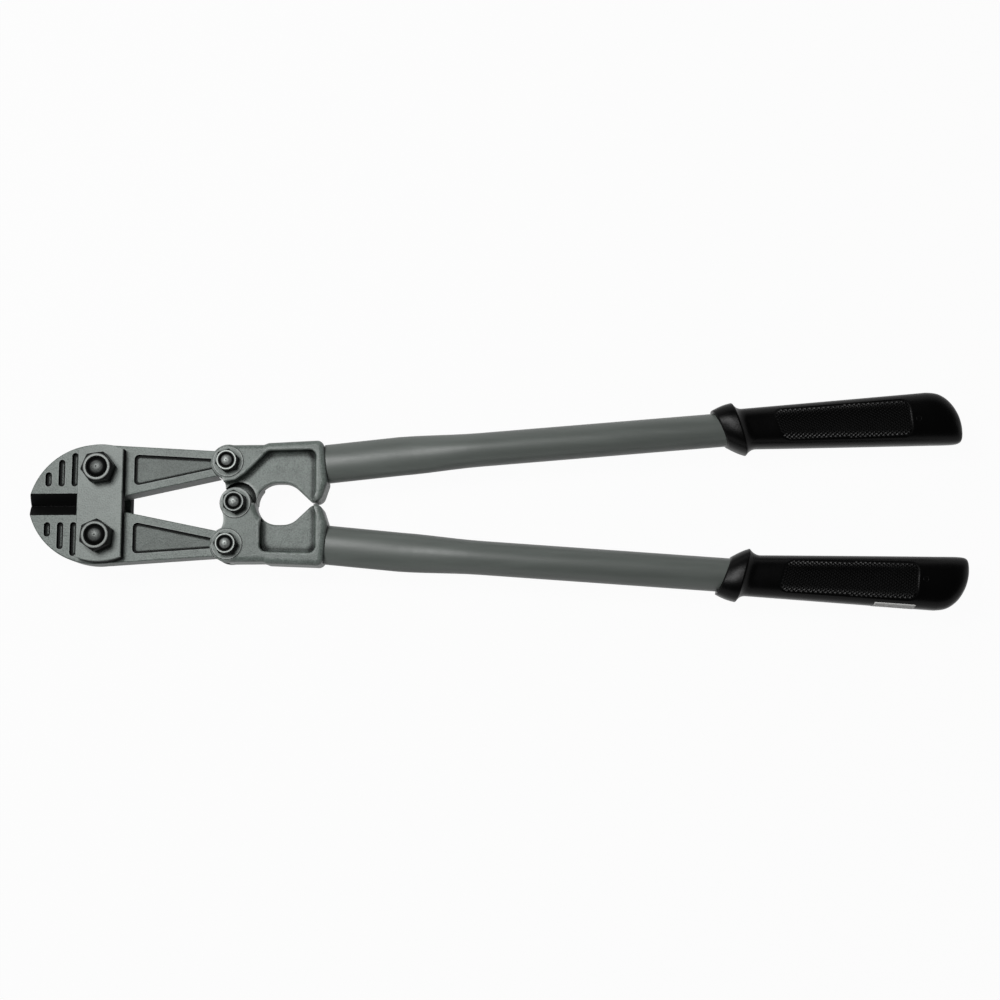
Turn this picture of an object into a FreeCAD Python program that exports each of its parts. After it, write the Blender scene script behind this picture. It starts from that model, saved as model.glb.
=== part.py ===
import FreeCAD, Part
import math
import os

# Bolt cutters, 600 mm class: two centre-cut jaws between two straps, driven by two forged
# handle irons that lap over each other at the centre pivot.
# Construction frame: origin on the centre pivot at mid-thickness, +X towards the grips,
# +Y towards the upper handle, +Z towards the nuts. The finished assembly is moved so that
# its origin is the middle of the underside of its bounding box.
# The lower jaw and the lower handle are the upper ones turned half a turn about X.

# ---------------------------------------------------------------- linkage
JAW_PIVOT_X = -85.8
JAW_PIVOT_Y = 21.7
LINK_PIVOT_X = -5.05
LINK_PIVOT_Y = 26.7
HANDLE_OPEN_DEG = 46.0

# ---------------------------------------------------------------- clearances
RUNNING_FIT = 0.05
FACE_GAP = 0.15
SWEEP_GAP = 0.4
CLOSED_GAP = 0.1
SPLIT_GAP = 0.15
THREAD_GAP = 0.03

# ---------------------------------------------------------------- jaws
JAW_THICK = 18.0
NOSE_RADIUS = 44.6
NOSE_CENTRE_X = -89.5
NOSE_CENTRE_Y = -5.8
BEVEL_HEIGHT = 7.0
EDGE_LAND = 1.6
EDGE_END_X = -95.0
JAW_BACK_X = -89.0
TAIL_OUTER_HALF = 6.9
TAIL_INNER_HALF = 7.3
TONGUE_THICK = 10.0
TONGUE_EYE_RADIUS = 9.0
TONGUE_ROOT = 1.0
FLUTE_WIDTH = 4.2
FLUTE_DEPTH = 3.0
FLUTE_BOTTOM_Y = 11.5
FLUTE_PITCH = 8.4
FLUTE_FIRST_X = -120.8
FLUTE_TOPS_Y = (20.9, 29.0, 33.4)
POCKET_DEPTH = 2.4
POCKET_CORNER = 3.0
POCKET_LEFT_X = -65.9
POCKET_RIM = 5.2
JAW_EDGE_ROUND = 0.8

# ---------------------------------------------------------------- straps
STRAP_WIDTH = 28.7
STRAP_END_MARGIN = 15.95
STRAP_THICK = 7.5
STRAP_EDGE = 0.5

# ---------------------------------------------------------------- strap bolts and nuts
STRAP_BOLT_RADIUS = 6.0
STRAP_HEX_FLATS = 18.0
STRAP_NUT_HEIGHT = 10.0
STRAP_HEAD_HEIGHT = 7.5
STRAP_BOLT_DOME = 2.4
STRAP_COUNTERSINK = 7.0
STRAP_HEAD_TURN_DEG = 0.0
STRAP_NUT_TURNS_DEG = (8.0, 24.0)

# ---------------------------------------------------------------- link and centre bolts and nuts
LINK_BOLT_RADIUS = 4.0
LINK_HEX_FLATS = 13.0
LINK_NUT_HEIGHT = 6.5
LINK_HEAD_HEIGHT = 5.3
LINK_BOLT_DOME = 1.7
LINK_COUNTERSINK = 5.2
LINK_HEAD_TURN_DEG = 15.0
LINK_NUT_TURNS_DEG = (78.0, 0.0)
CENTRE_NUT_TURN_DEG = 90.0
# The flat circle on a hexagon's face, as a share of its width across flats.
HEX_FACE_SHARE = 0.96
BOLT_TIP_PROUD = 0.6
BOLT_TIP_DIMPLE = 0.5
CENTRE_WASHER_RADIUS = 11.0
CENTRE_WASHER_THICK = 1.6

# ---------------------------------------------------------------- handle irons
IRON_THICK = 24.0
WEB_THICK = 10.0
EAR_RADIUS = 11.2
PAD_RADIUS = 9.7
PAD_HEIGHT = 0.6
LAP_RADIUS = 10.0
OPENING_X = 26.0
OPENING_RUN = 3.4
OPENING_RADIUS = 13.6
BUMP_X = 50.5
BUMP_RADIUS = 5.6
BUMP_GAP = 1.7
BUMP_TURN_DEG = 20.0
NECK_X = -8.5
NECK_HOLLOW = 1.1
STEP_X = 17.5
STEP_RISE = 1.2
STEP_RUN = 3.0
CREST_Y = 40.7
SHOULDER_DROP = 13.4
CORNER_ROUND = 4.4
OUTER_ROUND = 3.6
FLOOR_ROUND = 2.4
RIB_ROUND = 1.2
HOLE_ROUND = 1.5
RIM_WIDTH = 6.2
NUT_SIDE_RIB = ((20.5, 33.9), (6.5, 19.8), (-0.3, 14.9), (-12.0, 13.0))
HEAD_SIDE_WALL_X = 15.7
HEAD_SIDE_WALL_Y = 31.4
RECESS_RIGHT_X = 51.3

# ---------------------------------------------------------------- tubes
TUBE_OUTER = 22.0
TUBE_WALL = 1.8
OVAL_HEIGHT = 25.4
OVAL_DEPTH = 18.2
TUBE_START = (57.4, 26.4)
OVAL_END_X = 105.0
ROUND_START_X = 157.0
TUBE_END_X = 440.0
OVAL_SLOPE_DEG = 5.9
TUBE_SLOPE_DEG = 4.4
TANG_LENGTH = 46.0
TANG_ROOT = 6.0
BLEND_STEPS = 6

# ---------------------------------------------------------------- grips
GRIP_HALF_DEPTH = 13.0
COLLAR_LIP_HALF_DEPTH = 11.9
COLLAR_CREST_HALF_DEPTH = 16.0
GRIP_END_HALF_DEPTH = 11.6
GRIP_TIP_HALF_DEPTH = 7.0
GRIP_SQUARENESS = 2.6
GRIP_SECTION_POINTS = 24
# Each station is its outer point, its inner point and half its depth.
COLLAR_LIP = ((307.6, 59.9), (317.9, 35.7), COLLAR_LIP_HALF_DEPTH)
COLLAR_CREST = ((319.8, 64.7), (329.7, 30.6), COLLAR_CREST_HALF_DEPTH)
GRIP_NECK = ((327.0, 61.0), (337.0, 34.9), GRIP_HALF_DEPTH)
GRIP_MIDDLE = ((386.0, 65.9), (392.0, 35.6), GRIP_HALF_DEPTH)
GRIP_HEEL = ((447.0, 71.0), (450.0, 36.5), GRIP_HALF_DEPTH)
GRIP_END = ((461.0, 65.5), (463.5, 36.7), GRIP_END_HALF_DEPTH)
GRIP_TIP = ((468.6, 53.6), (470.3, 39.5), GRIP_TIP_HALF_DEPTH)

# ---------------------------------------------------------------- worked-out places
STRAP_LENGTH = 2.0 * (JAW_PIVOT_Y + STRAP_END_MARGIN)
JAW_HALF = JAW_THICK / 2.0
IRON_HALF = IRON_THICK / 2.0
WEB_HALF = WEB_THICK / 2.0
TONGUE_HALF = TONGUE_THICK / 2.0
PAD_FACE = IRON_HALF + PAD_HEIGHT
STRAP_INNER_Z = JAW_HALF + FACE_GAP
STRAP_OUTER_Z = STRAP_INNER_Z + STRAP_THICK
JAW_ARM = math.hypot(LINK_PIVOT_X - JAW_PIVOT_X, LINK_PIVOT_Y - JAW_PIVOT_Y)
JAW_ARM_ANGLE = math.atan2(LINK_PIVOT_Y - JAW_PIVOT_Y, LINK_PIVOT_X - JAW_PIVOT_X)
CRANK = math.hypot(LINK_PIVOT_X, LINK_PIVOT_Y)
CRANK_ANGLE = math.atan2(-LINK_PIVOT_X, LINK_PIVOT_Y)
HANDLE_OPEN = math.radians(HANDLE_OPEN_DEG)
LINK_OPEN_Y = CRANK * math.cos(CRANK_ANGLE + HANDLE_OPEN)
JAW_OPEN = JAW_ARM_ANGLE - math.asin((LINK_OPEN_Y - JAW_PIVOT_Y) / JAW_ARM)
SHOULDER_RADIUS = EAR_RADIUS + SWEEP_GAP
MARGIN = 5.0


def vec(x, y, z=0.0):
    """A vector from its coordinates."""
    return FreeCAD.Vector(x, y, z)


def outline(start, *steps):
    """A closed wire in the XY plane: a step is an end point, or a (middle, end) pair for an arc."""
    edges = []
    here = start
    for step in steps + (start,):
        if isinstance(step[0], tuple):
            middle, end = step
            edges.append(Part.Arc(vec(*here), vec(*middle), vec(*end)).toShape())
        else:
            end = step
            if math.dist(here, end) > 1e-6:
                edges.append(Part.makeLine(vec(*here), vec(*end)))
        here = end
    return Part.Wire(edges)


def slab(wire, low, high):
    """The solid between two heights under a closed outline."""
    lifted = wire.translated(vec(0, 0, low))
    return Part.Face(lifted).extrude(vec(0, 0, high - low))


def disc(x, y, radius, low, high):
    """An upright cylinder between two heights."""
    return Part.makeCylinder(radius, high - low, vec(x, y, low))


def block(x0, x1, y0, y1, z0, z1):
    """A box between six planes."""
    return Part.makeBox(x1 - x0, y1 - y0, z1 - z0, vec(x0, y0, z0))


def stadium(x0, y0, x1, y1, radius, low, high):
    """The upright solid that a disc sweeps from one point to another."""
    length = math.hypot(x1 - x0, y1 - y0)
    side_x = -(y1 - y0) / length * radius
    side_y = (x1 - x0) / length * radius
    ahead_x = (x1 - x0) / length * radius
    ahead_y = (y1 - y0) / length * radius
    wire = outline(
        (x0 + side_x, y0 + side_y),
        ((x0 - ahead_x, y0 - ahead_y), (x0 - side_x, y0 - side_y)),
        (x1 - side_x, y1 - side_y),
        ((x1 + ahead_x, y1 + ahead_y), (x1 + side_x, y1 + side_y)),
    )
    return slab(wire, low, high)


def half_turned(shape):
    """The same piece turned half a turn about the X axis."""
    turned = shape.copy()
    turned.rotate(vec(0, 0), vec(1, 0), 180.0)
    return turned


def flipped(shape):
    """The same shape mirrored from the nut side to the head side."""
    return shape.mirror(vec(0, 0), vec(0, 0, 1))


def round_edges(shape, radius, wanted):
    """Round each edge whose middle the test accepts."""
    edges = [edge for edge in shape.Edges if wanted(edge_middle(edge), edge)]
    return shape.makeFillet(radius, edges)


def edge_middle(edge):
    """The point half-way along an edge."""
    return edge.valueAt((edge.FirstParameter + edge.LastParameter) / 2.0)


def is_level(edge, height):
    """Whether an edge lies in the plane Z = height or Z = -height."""
    return all(abs(abs(vertex.Z) - height) < 1e-4 for vertex in edge.Vertexes)


def in_the_loop(fraction):
    """How far the lower iron's pivot strays from the upper iron's, in the upper iron's axes."""
    jaw = JAW_PIVOT_Y + JAW_ARM * math.sin(JAW_ARM_ANGLE - fraction * JAW_OPEN)
    crank = CRANK * math.cos(CRANK_ANGLE + fraction * HANDLE_OPEN)
    apart = 2.0 * (crank - jaw)
    turn = fraction * HANDLE_OPEN
    return apart * math.sin(turn), apart * math.cos(turn)


def pivot_travel():
    """The farthest stray point and the side play about the straight line to it."""
    strays = [in_the_loop(step / 40.0) for step in range(41)]
    far_x, far_y = max(strays, key=lambda point: math.hypot(*point))
    length = math.hypot(far_x, far_y)
    side = max(abs(x * far_y - y * far_x) / length for x, y in strays)
    return far_x, far_y, side


# ---------------------------------------------------------------- jaws
def nose_x(y):
    """Where the round nose meets a height."""
    return NOSE_CENTRE_X - math.sqrt(NOSE_RADIUS ** 2 - (y - NOSE_CENTRE_Y) ** 2)


def tail_line(side, offset):
    """A tail edge: two points on the line that passes the link pivot at an offset."""
    if side > 0:
        start = vec(JAW_BACK_X, nose_top())
    else:
        start = vec(EDGE_END_X, CLOSED_GAP)
    pivot = vec(LINK_PIVOT_X, LINK_PIVOT_Y)
    span = (pivot - start).Length
    towards = math.atan2(pivot.y - start.y, pivot.x - start.x)
    angle = towards + side * math.asin(offset / span)
    reach = math.sqrt(span ** 2 - offset ** 2)
    end = start + vec(math.cos(angle), math.sin(angle)) * reach
    return start, end


def nose_top():
    """The height of the nose above the jaw pivot's neighbourhood."""
    return NOSE_CENTRE_Y + math.sqrt(NOSE_RADIUS ** 2 - (JAW_BACK_X - NOSE_CENTRE_X) ** 2)


def jaw_outline():
    """Cutting edge, round nose, back and tapered tail of the upper jaw, to the link pivot."""
    top_start, top_end = tail_line(1, TAIL_OUTER_HALF)
    low_start, low_end = tail_line(-1, TAIL_INNER_HALF)
    middle_y = (BEVEL_HEIGHT + top_start.y) / 2.0
    return outline(
        (low_start.x, low_start.y),
        (nose_x(CLOSED_GAP), CLOSED_GAP),
        ((nose_x(middle_y), middle_y), (top_start.x, top_start.y)),
        (top_end.x, top_end.y),
        (low_end.x, low_end.y),
    )


def edge_bevel():
    """The wedge that one bevel takes off, down to the edge's flat land, on the nut side."""
    profile = Part.Wire(Part.makePolygon([
        vec(0, CLOSED_GAP, EDGE_LAND / 2.0),
        vec(0, BEVEL_HEIGHT, JAW_HALF),
        vec(0, BEVEL_HEIGHT, JAW_HALF + MARGIN),
        vec(0, CLOSED_GAP - MARGIN, JAW_HALF + MARGIN),
        vec(0, CLOSED_GAP - MARGIN, EDGE_LAND / 2.0),
        vec(0, CLOSED_GAP, EDGE_LAND / 2.0),
    ]))
    left = nose_x(CLOSED_GAP) - MARGIN
    wedge = Part.Face(profile).extrude(vec(EDGE_END_X - left, 0, 0))
    return wedge.translated(vec(left, 0, 0))


def flutes():
    """The three upright flutes in the nut-side face of the nose."""
    shapes = []
    radius = FLUTE_WIDTH / 2.0
    for index, top in enumerate(FLUTE_TOPS_Y):
        x = FLUTE_FIRST_X + index * FLUTE_PITCH
        low = FLUTE_BOTTOM_Y + radius
        high = top - radius
        floor = JAW_HALF - FLUTE_DEPTH
        shapes.append(stadium(x, low, x, high, radius, floor, JAW_HALF + MARGIN))
    return shapes


def tail_pocket():
    """The tapered pocket in the nut-side face of the tail, with an even rim round it."""
    top_start, top_end = tail_line(1, TAIL_OUTER_HALF)
    low_start, low_end = tail_line(-1, TAIL_INNER_HALF)
    top_slope = (top_end.y - top_start.y) / (top_end.x - top_start.x)
    low_slope = (low_end.y - low_start.y) / (low_end.x - low_start.x)
    right = LINK_PIVOT_X

    def top_at(x):
        return top_start.y + top_slope * (x - top_start.x) - POCKET_RIM

    def low_at(x):
        return low_start.y + low_slope * (x - low_start.x) + POCKET_RIM

    wire = Part.Wire(Part.makePolygon([
        vec(POCKET_LEFT_X, low_at(POCKET_LEFT_X)),
        vec(POCKET_LEFT_X, top_at(POCKET_LEFT_X)),
        vec(right, top_at(right)),
        vec(right, low_at(right)),
        vec(POCKET_LEFT_X, low_at(POCKET_LEFT_X)),
    ]))
    solid = slab(wire, JAW_HALF - POCKET_DEPTH, JAW_HALF + MARGIN)
    return round_edges(
        solid, POCKET_CORNER,
        lambda middle, edge: abs(middle.x - POCKET_LEFT_X) < 1e-4 and len(edge.Vertexes) == 2
        and abs(edge.Vertexes[0].Z - edge.Vertexes[1].Z) > 1.0)


def tongue_lane(turn_deg, half_height, half_width, reach):
    """A bar from the link pivot along the jaw's arm, turned back by an angle about that pivot."""
    lane = Part.makeBox(reach, 2.0 * half_width, 2.0 * half_height,
                        vec(LINK_PIVOT_X, LINK_PIVOT_Y - half_width, -half_height))
    lane.rotate(vec(LINK_PIVOT_X, LINK_PIVOT_Y), vec(0, 0, 1),
                180.0 + math.degrees(JAW_ARM_ANGLE) - turn_deg)
    return lane


def upper_jaw():
    """A centre-cut jaw: beveled edge, bored for its strap bolt, tongued into the iron's clevis."""
    body = slab(jaw_outline(), -JAW_HALF, JAW_HALF)
    body = round_edges(body, JAW_EDGE_ROUND, lambda middle, edge: is_level(edge, JAW_HALF)
                       and middle.y > BEVEL_HEIGHT and middle.x < LINK_PIVOT_X - MARGIN)
    body = body.cut(disc(LINK_PIVOT_X, LINK_PIVOT_Y, SHOULDER_RADIUS, -JAW_HALF, JAW_HALF))
    neck = tongue_lane(0.0, TONGUE_HALF, TAIL_OUTER_HALF, SHOULDER_RADIUS + TONGUE_ROOT)
    eye = disc(LINK_PIVOT_X, LINK_PIVOT_Y, TONGUE_EYE_RADIUS, -TONGUE_HALF, TONGUE_HALF)
    cuts = [edge_bevel(), tail_pocket()] + flutes()
    cuts += [flipped(cut) for cut in cuts]
    for cut in cuts:
        body = body.cut(cut)
    body = body.fuse([neck, eye]).removeSplitter()
    body = body.cut(disc(JAW_PIVOT_X, JAW_PIVOT_Y, STRAP_BOLT_RADIUS + RUNNING_FIT,
                         -JAW_THICK, JAW_THICK))
    body = body.cut(disc(LINK_PIVOT_X, LINK_PIVOT_Y, LINK_BOLT_RADIUS + RUNNING_FIT,
                         -JAW_THICK, JAW_THICK))
    return body


# ---------------------------------------------------------------- straps and fasteners
def strap():
    """The nut-side strap: a flat bar with round ends, drilled for both strap bolts."""
    bar = block(JAW_PIVOT_X - STRAP_WIDTH / 2.0, JAW_PIVOT_X + STRAP_WIDTH / 2.0,
                -STRAP_LENGTH, STRAP_LENGTH, STRAP_INNER_Z, STRAP_OUTER_Z)
    bar = bar.common(disc(JAW_PIVOT_X, 0, STRAP_LENGTH / 2.0, STRAP_INNER_Z, STRAP_OUTER_Z))
    bar = bar.makeChamfer(STRAP_EDGE, [edge for edge in bar.Edges
                                       if is_level(edge, STRAP_OUTER_Z)])
    for side in (-1, 1):
        bar = bar.cut(disc(JAW_PIVOT_X, side * JAW_PIVOT_Y, STRAP_BOLT_RADIUS + RUNNING_FIT,
                           0, STRAP_OUTER_Z + MARGIN))
    return bar


def hexagon(flats, low, high, turn_deg):
    """A hexagonal prism with its corners turned off at the top face."""
    corner = flats / math.sqrt(3.0)
    points = []
    for index in range(7):
        angle = math.radians(turn_deg + 60.0 * index)
        points.append(vec(corner * math.cos(angle), corner * math.sin(angle)))
    prism = slab(Part.Wire(Part.makePolygon(points)), low, high)
    reach = high - low
    land = flats / 2.0 * HEX_FACE_SHARE
    cone = Part.makeCone(land + reach * 2.0, land, reach, vec(0, 0, low))
    return prism.common(cone)


def nut(flats, bore, height, countersink, low, turn_deg):
    """A hexagon nut standing on a face, with a countersunk bore."""
    high = low + height
    body = hexagon(flats, low, high, turn_deg)
    body = body.cut(disc(0, 0, bore + THREAD_GAP, low - MARGIN, high + MARGIN))
    sink = countersink - bore
    return body.cut(Part.makeCone(bore, countersink, sink, vec(0, 0, high - sink)))


def dome(radius, rise, low):
    """The rounded end of a bolt: a cap of a ball that stands on a height."""
    ball = (radius ** 2 + rise ** 2) / (2.0 * rise)
    centre_z = low + rise - ball
    half_lean = math.asin(radius / ball) / 2.0
    middle = vec(ball * math.sin(half_lean), 0, centre_z + ball * math.cos(half_lean))
    profile = Part.Wire([
        Part.makeLine(vec(0, 0, low), vec(radius, 0, low)),
        Part.Arc(vec(radius, 0, low), middle, vec(0, 0, low + rise)).toShape(),
        Part.makeLine(vec(0, 0, low + rise), vec(0, 0, low)),
    ])
    return Part.Face(profile).revolve(vec(0, 0, 0), vec(0, 0, 1), 360.0)


def bolt(radius, flats, head_height, head_face, nut_top, tip_rise, turn_deg):
    """A hexagon-headed bolt: head under its seat, shank up through the nut, domed tip."""
    head = hexagon(flats, -head_height, 0.0, turn_deg)
    head.rotate(vec(0, 0, 0), vec(1, 0, 0), 180.0)
    head.translate(vec(0, 0, head_face - head_height))
    tip = nut_top + BOLT_TIP_PROUD
    shank = disc(0, 0, radius, head_face, tip - tip_rise)
    dimple = Part.makeSphere(BOLT_TIP_DIMPLE, vec(0, 0, tip))
    body = head.fuse([shank, dome(radius, tip_rise, tip - tip_rise)]).removeSplitter()
    return body.cut(dimple)


def strap_bolt():
    """A jaw pivot bolt, about its own axis."""
    return bolt(STRAP_BOLT_RADIUS, STRAP_HEX_FLATS, STRAP_HEAD_HEIGHT, -STRAP_OUTER_Z,
                STRAP_OUTER_Z + STRAP_NUT_HEIGHT, STRAP_BOLT_DOME, STRAP_HEAD_TURN_DEG)


def strap_nut(turn_deg):
    """A jaw pivot nut on the strap, about its own axis."""
    return nut(STRAP_HEX_FLATS, STRAP_BOLT_RADIUS, STRAP_NUT_HEIGHT, STRAP_COUNTERSINK,
               STRAP_OUTER_Z, turn_deg)


def link_bolt(head_face):
    """A link or centre pivot bolt with its head on a given face, about its own axis."""
    return bolt(LINK_BOLT_RADIUS, LINK_HEX_FLATS, LINK_HEAD_HEIGHT, head_face,
                PAD_FACE + LINK_NUT_HEIGHT, LINK_BOLT_DOME, LINK_HEAD_TURN_DEG)


def link_nut(turn_deg):
    """A link or centre pivot nut on its pad, about its own axis."""
    return nut(LINK_HEX_FLATS, LINK_BOLT_RADIUS, LINK_NUT_HEIGHT, LINK_COUNTERSINK,
               PAD_FACE, turn_deg)


def centre_washer():
    """The wide washer under the centre bolt's head, covering the slotted lap."""
    low = -PAD_FACE - CENTRE_WASHER_THICK
    ring = disc(0, 0, CENTRE_WASHER_RADIUS, low, -PAD_FACE)
    return ring.cut(disc(0, 0, LINK_BOLT_RADIUS + RUNNING_FIT, low - MARGIN, 0))


# ---------------------------------------------------------------- handle irons
def bump_tangent():
    """The straight between the opening's far end and the bump: its two tangent points."""
    bump_y = BUMP_GAP / 2.0 + BUMP_RADIUS
    far_x = OPENING_X + OPENING_RUN
    across = vec(BUMP_X - far_x, bump_y)
    lean = math.atan2(across.y, across.x)
    lean += math.acos((OPENING_RADIUS + BUMP_RADIUS) / across.Length)
    normal = vec(math.cos(lean), math.sin(lean))
    return vec(far_x, 0) + normal * OPENING_RADIUS, vec(BUMP_X, bump_y) - normal * BUMP_RADIUS


def on_opening(centre_x, angle):
    """A point on one of the opening's two round ends."""
    return vec(centre_x + OPENING_RADIUS * math.cos(angle), OPENING_RADIUS * math.sin(angle))


def far_end_middle():
    """The point half way round the opening's far end, between its crown and the straight."""
    on_hole = bump_tangent()[0]
    far_x = OPENING_X + OPENING_RUN
    tangent_angle = math.atan2(on_hole.y, on_hole.x - far_x)
    return on_opening(far_x, (math.pi / 2.0 + tangent_angle) / 2.0)


def shoulder_point(rise):
    """A point on the iron's shoulder, square to the tube, at a rise above the tube's centre."""
    slope = math.radians(OVAL_SLOPE_DEG)
    start_x, start_y = TUBE_START
    return (start_x - FACE_GAP - rise * math.sin(slope), start_y + rise * math.cos(slope))


def iron_outline():
    """The upper iron seen from the nut side, without its ear and its lap."""
    on_hole, on_bump = bump_tangent()
    bump_y = BUMP_GAP / 2.0 + BUMP_RADIUS
    ear_top = LINK_PIVOT_Y + EAR_RADIUS
    hole_start_x = OPENING_X - math.sqrt(OPENING_RADIUS ** 2 - SPLIT_GAP ** 2)
    near_middle = on_opening(OPENING_X, math.pi * 0.75)
    far_middle = far_end_middle()
    bump_turn = math.radians(BUMP_TURN_DEG)
    bump_right = (BUMP_X + BUMP_RADIUS * math.cos(bump_turn),
                  bump_y - BUMP_RADIUS * math.sin(bump_turn))
    bump_low = (BUMP_X, bump_y - BUMP_RADIUS)
    neck_low = (NECK_X, math.sqrt(LAP_RADIUS ** 2 - NECK_X ** 2))
    neck_high_y = LINK_PIVOT_Y - math.sqrt(EAR_RADIUS ** 2 - (NECK_X - LINK_PIVOT_X) ** 2)
    neck_middle = (NECK_X + NECK_HOLLOW, (neck_low[1] + neck_high_y) / 2.0)
    crest_rise = (CREST_Y - TUBE_START[1]) / math.cos(math.radians(OVAL_SLOPE_DEG))
    return outline(
        (NECK_X, SPLIT_GAP),
        (hole_start_x, SPLIT_GAP),
        ((near_middle.x, near_middle.y), (OPENING_X, OPENING_RADIUS)),
        (OPENING_X + OPENING_RUN, OPENING_RADIUS),
        ((far_middle.x, far_middle.y), (on_hole.x, on_hole.y)),
        (on_bump.x, on_bump.y),
        (bump_low, bump_right),
        shoulder_point(-SHOULDER_DROP),
        shoulder_point(crest_rise),
        (STEP_X + STEP_RUN, ear_top + STEP_RISE),
        (STEP_X, ear_top),
        (LINK_PIVOT_X, ear_top),
        (NECK_X, LINK_PIVOT_Y),
        (NECK_X, neck_high_y),
        (neck_middle, neck_low),
    )


def is_upright(edge):
    """Whether an edge runs straight up."""
    return len(edge.Vertexes) == 2 and abs(edge.tangentAt(edge.FirstParameter).z) > 0.999


def is_outer_rim(middle, edge):
    """Whether an edge lies on the iron's back, shoulder or bump, on either face."""
    on_back = middle.y > LINK_PIVOT_Y + EAR_RADIUS - 0.1
    on_shoulder = middle.x > BUMP_X + BUMP_RADIUS / 2.0
    return is_level(edge, IRON_HALF) and (on_back or on_shoulder)


def iron_blank():
    """The iron's full-height body with its rounded back, before any recess."""
    body = slab(iron_outline(), -IRON_HALF, IRON_HALF)
    body = round_edges(body, CORNER_ROUND, lambda middle, edge: is_upright(edge)
                       and middle.x > BUMP_X and middle.y > LINK_PIVOT_Y + EAR_RADIUS)
    body = round_edges(body, OUTER_ROUND, is_outer_rim)
    ear = disc(LINK_PIVOT_X, LINK_PIVOT_Y, EAR_RADIUS, -IRON_HALF, IRON_HALF)
    ear = ear.makeFillet(RIB_ROUND, [edge for edge in ear.Edges if is_level(edge, IRON_HALF)])
    return body.fuse(ear)


def recess_plan(points, low, high):
    """The upright solid over a recess's outline, with rounded corners."""
    wire = Part.Wire(Part.makePolygon([vec(x, y) for x, y in points + (points[0],)]))
    return round_edges(slab(wire, low, high), CORNER_ROUND, lambda middle, edge: is_upright(edge)
                       and middle.y > BUMP_RADIUS + 0.1)


def recess_cutter(points):
    """What a nut-side recess takes off: rounded floor edge, and a flare that rounds the rib."""
    solid = recess_plan(points, WEB_HALF, IRON_HALF)
    solid = round_edges(solid, FLOOR_ROUND, lambda middle, edge: middle.y > 0
                        and all(abs(vertex.Z - WEB_HALF) < 1e-4 for vertex in edge.Vertexes))
    lid = block(-IRON_THICK * 2, IRON_THICK * 4, -IRON_THICK, IRON_THICK * 3,
                IRON_HALF, IRON_HALF + MARGIN)
    return round_edges(solid.fuse(lid), RIB_ROUND, lambda middle, edge: middle.y > 0
                       and abs(middle.y) < CREST_Y and is_level(edge, IRON_HALF)
                       and abs(middle.x) < IRON_THICK * 2)


def hole_edge_cutter(points):
    """What rounds the web's edge along the opening, on a nut-side recess's floor."""
    on_hole, on_bump = bump_tangent()
    bump_y = BUMP_GAP / 2.0 + BUMP_RADIUS
    lift = vec(0, 0, WEB_HALF)
    start = on_opening(OPENING_X, math.pi) + lift
    crown = on_opening(OPENING_X, math.pi / 2.0) + lift
    far_crown = crown + vec(OPENING_RUN, 0)
    path = Part.Wire([
        Part.Arc(start, on_opening(OPENING_X, math.pi * 0.75) + lift, crown).toShape(),
        Part.makeLine(crown, far_crown),
        Part.Arc(far_crown, far_end_middle() + lift, on_hole + lift).toShape(),
        Part.makeLine(on_hole + lift, on_bump + lift),
        Part.Arc(on_bump + lift, vec(BUMP_X, bump_y - BUMP_RADIUS, WEB_HALF),
                 vec(BUMP_X + BUMP_RADIUS, bump_y, WEB_HALF)).toShape(),
    ])
    inward = vec(-HOLE_ROUND, 0)
    down = vec(0, 0, -HOLE_ROUND)
    middle = start + (inward + down) * (1.0 - math.sqrt(0.5))
    profile = Part.Wire([
        Part.makeLine(start - inward - down, start + inward - down),
        Part.makeLine(start + inward - down, start + inward),
        Part.Arc(start + inward, middle, start + down).toShape(),
        Part.makeLine(start + down, start + down - inward),
        Part.makeLine(start + down - inward, start - inward - down),
    ])
    sweep = path.makePipeShell([profile], True, True)
    return sweep.common(recess_plan(points, 0.0, IRON_HALF))


def nut_side_recess():
    """The outline of the recess in the upper iron's nut-side face, under its slanting rib."""
    return ((RECESS_RIGHT_X, CREST_Y - RIM_WIDTH),) + NUT_SIDE_RIB + (
        (NUT_SIDE_RIB[-1][0], -MARGIN),
        (BUMP_X - BUMP_RADIUS / 2.0, -MARGIN),
        (RECESS_RIGHT_X, BUMP_RADIUS),
    )


def head_side_recess():
    """The outline of the recess in the upper iron's head-side face, right of its raised end."""
    return (
        (HEAD_SIDE_WALL_X, -MARGIN),
        (HEAD_SIDE_WALL_X, HEAD_SIDE_WALL_Y),
        (RECESS_RIGHT_X, HEAD_SIDE_WALL_Y + STEP_RISE),
        (RECESS_RIGHT_X, BUMP_RADIUS),
        (BUMP_X - BUMP_RADIUS / 2.0, -MARGIN),
    )


def clevis_slot():
    """The room that the jaw's tongue sweeps between the ears."""
    half_height = TONGUE_HALF + FACE_GAP
    reach = SHOULDER_RADIUS + MARGIN
    half_width = TAIL_OUTER_HALF + SWEEP_GAP
    base = vec(LINK_PIVOT_X, LINK_PIVOT_Y, -half_height)
    room = disc(LINK_PIVOT_X, LINK_PIVOT_Y, TONGUE_EYE_RADIUS + SWEEP_GAP,
                -half_height, half_height)
    sweep = math.degrees(HANDLE_OPEN + JAW_OPEN)
    sector = Part.makeCylinder(reach, 2.0 * half_height, base, vec(0, 0, 1), sweep)
    sector.rotate(base, vec(0, 0, 1), 180.0 + math.degrees(JAW_ARM_ANGLE) - sweep)
    lanes = [tongue_lane(turn, half_height, half_width, reach) for turn in (0.0, sweep)]
    return room.fuse([sector] + lanes).removeSplitter()


def tube_blend(x):
    """How far the tube has turned from its flattened end, 0, to its round run, 1."""
    along = (x - OVAL_END_X) / (ROUND_START_X - OVAL_END_X)
    along = min(max(along, 0.0), 1.0)
    return along * along * (3.0 - 2.0 * along)


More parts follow.
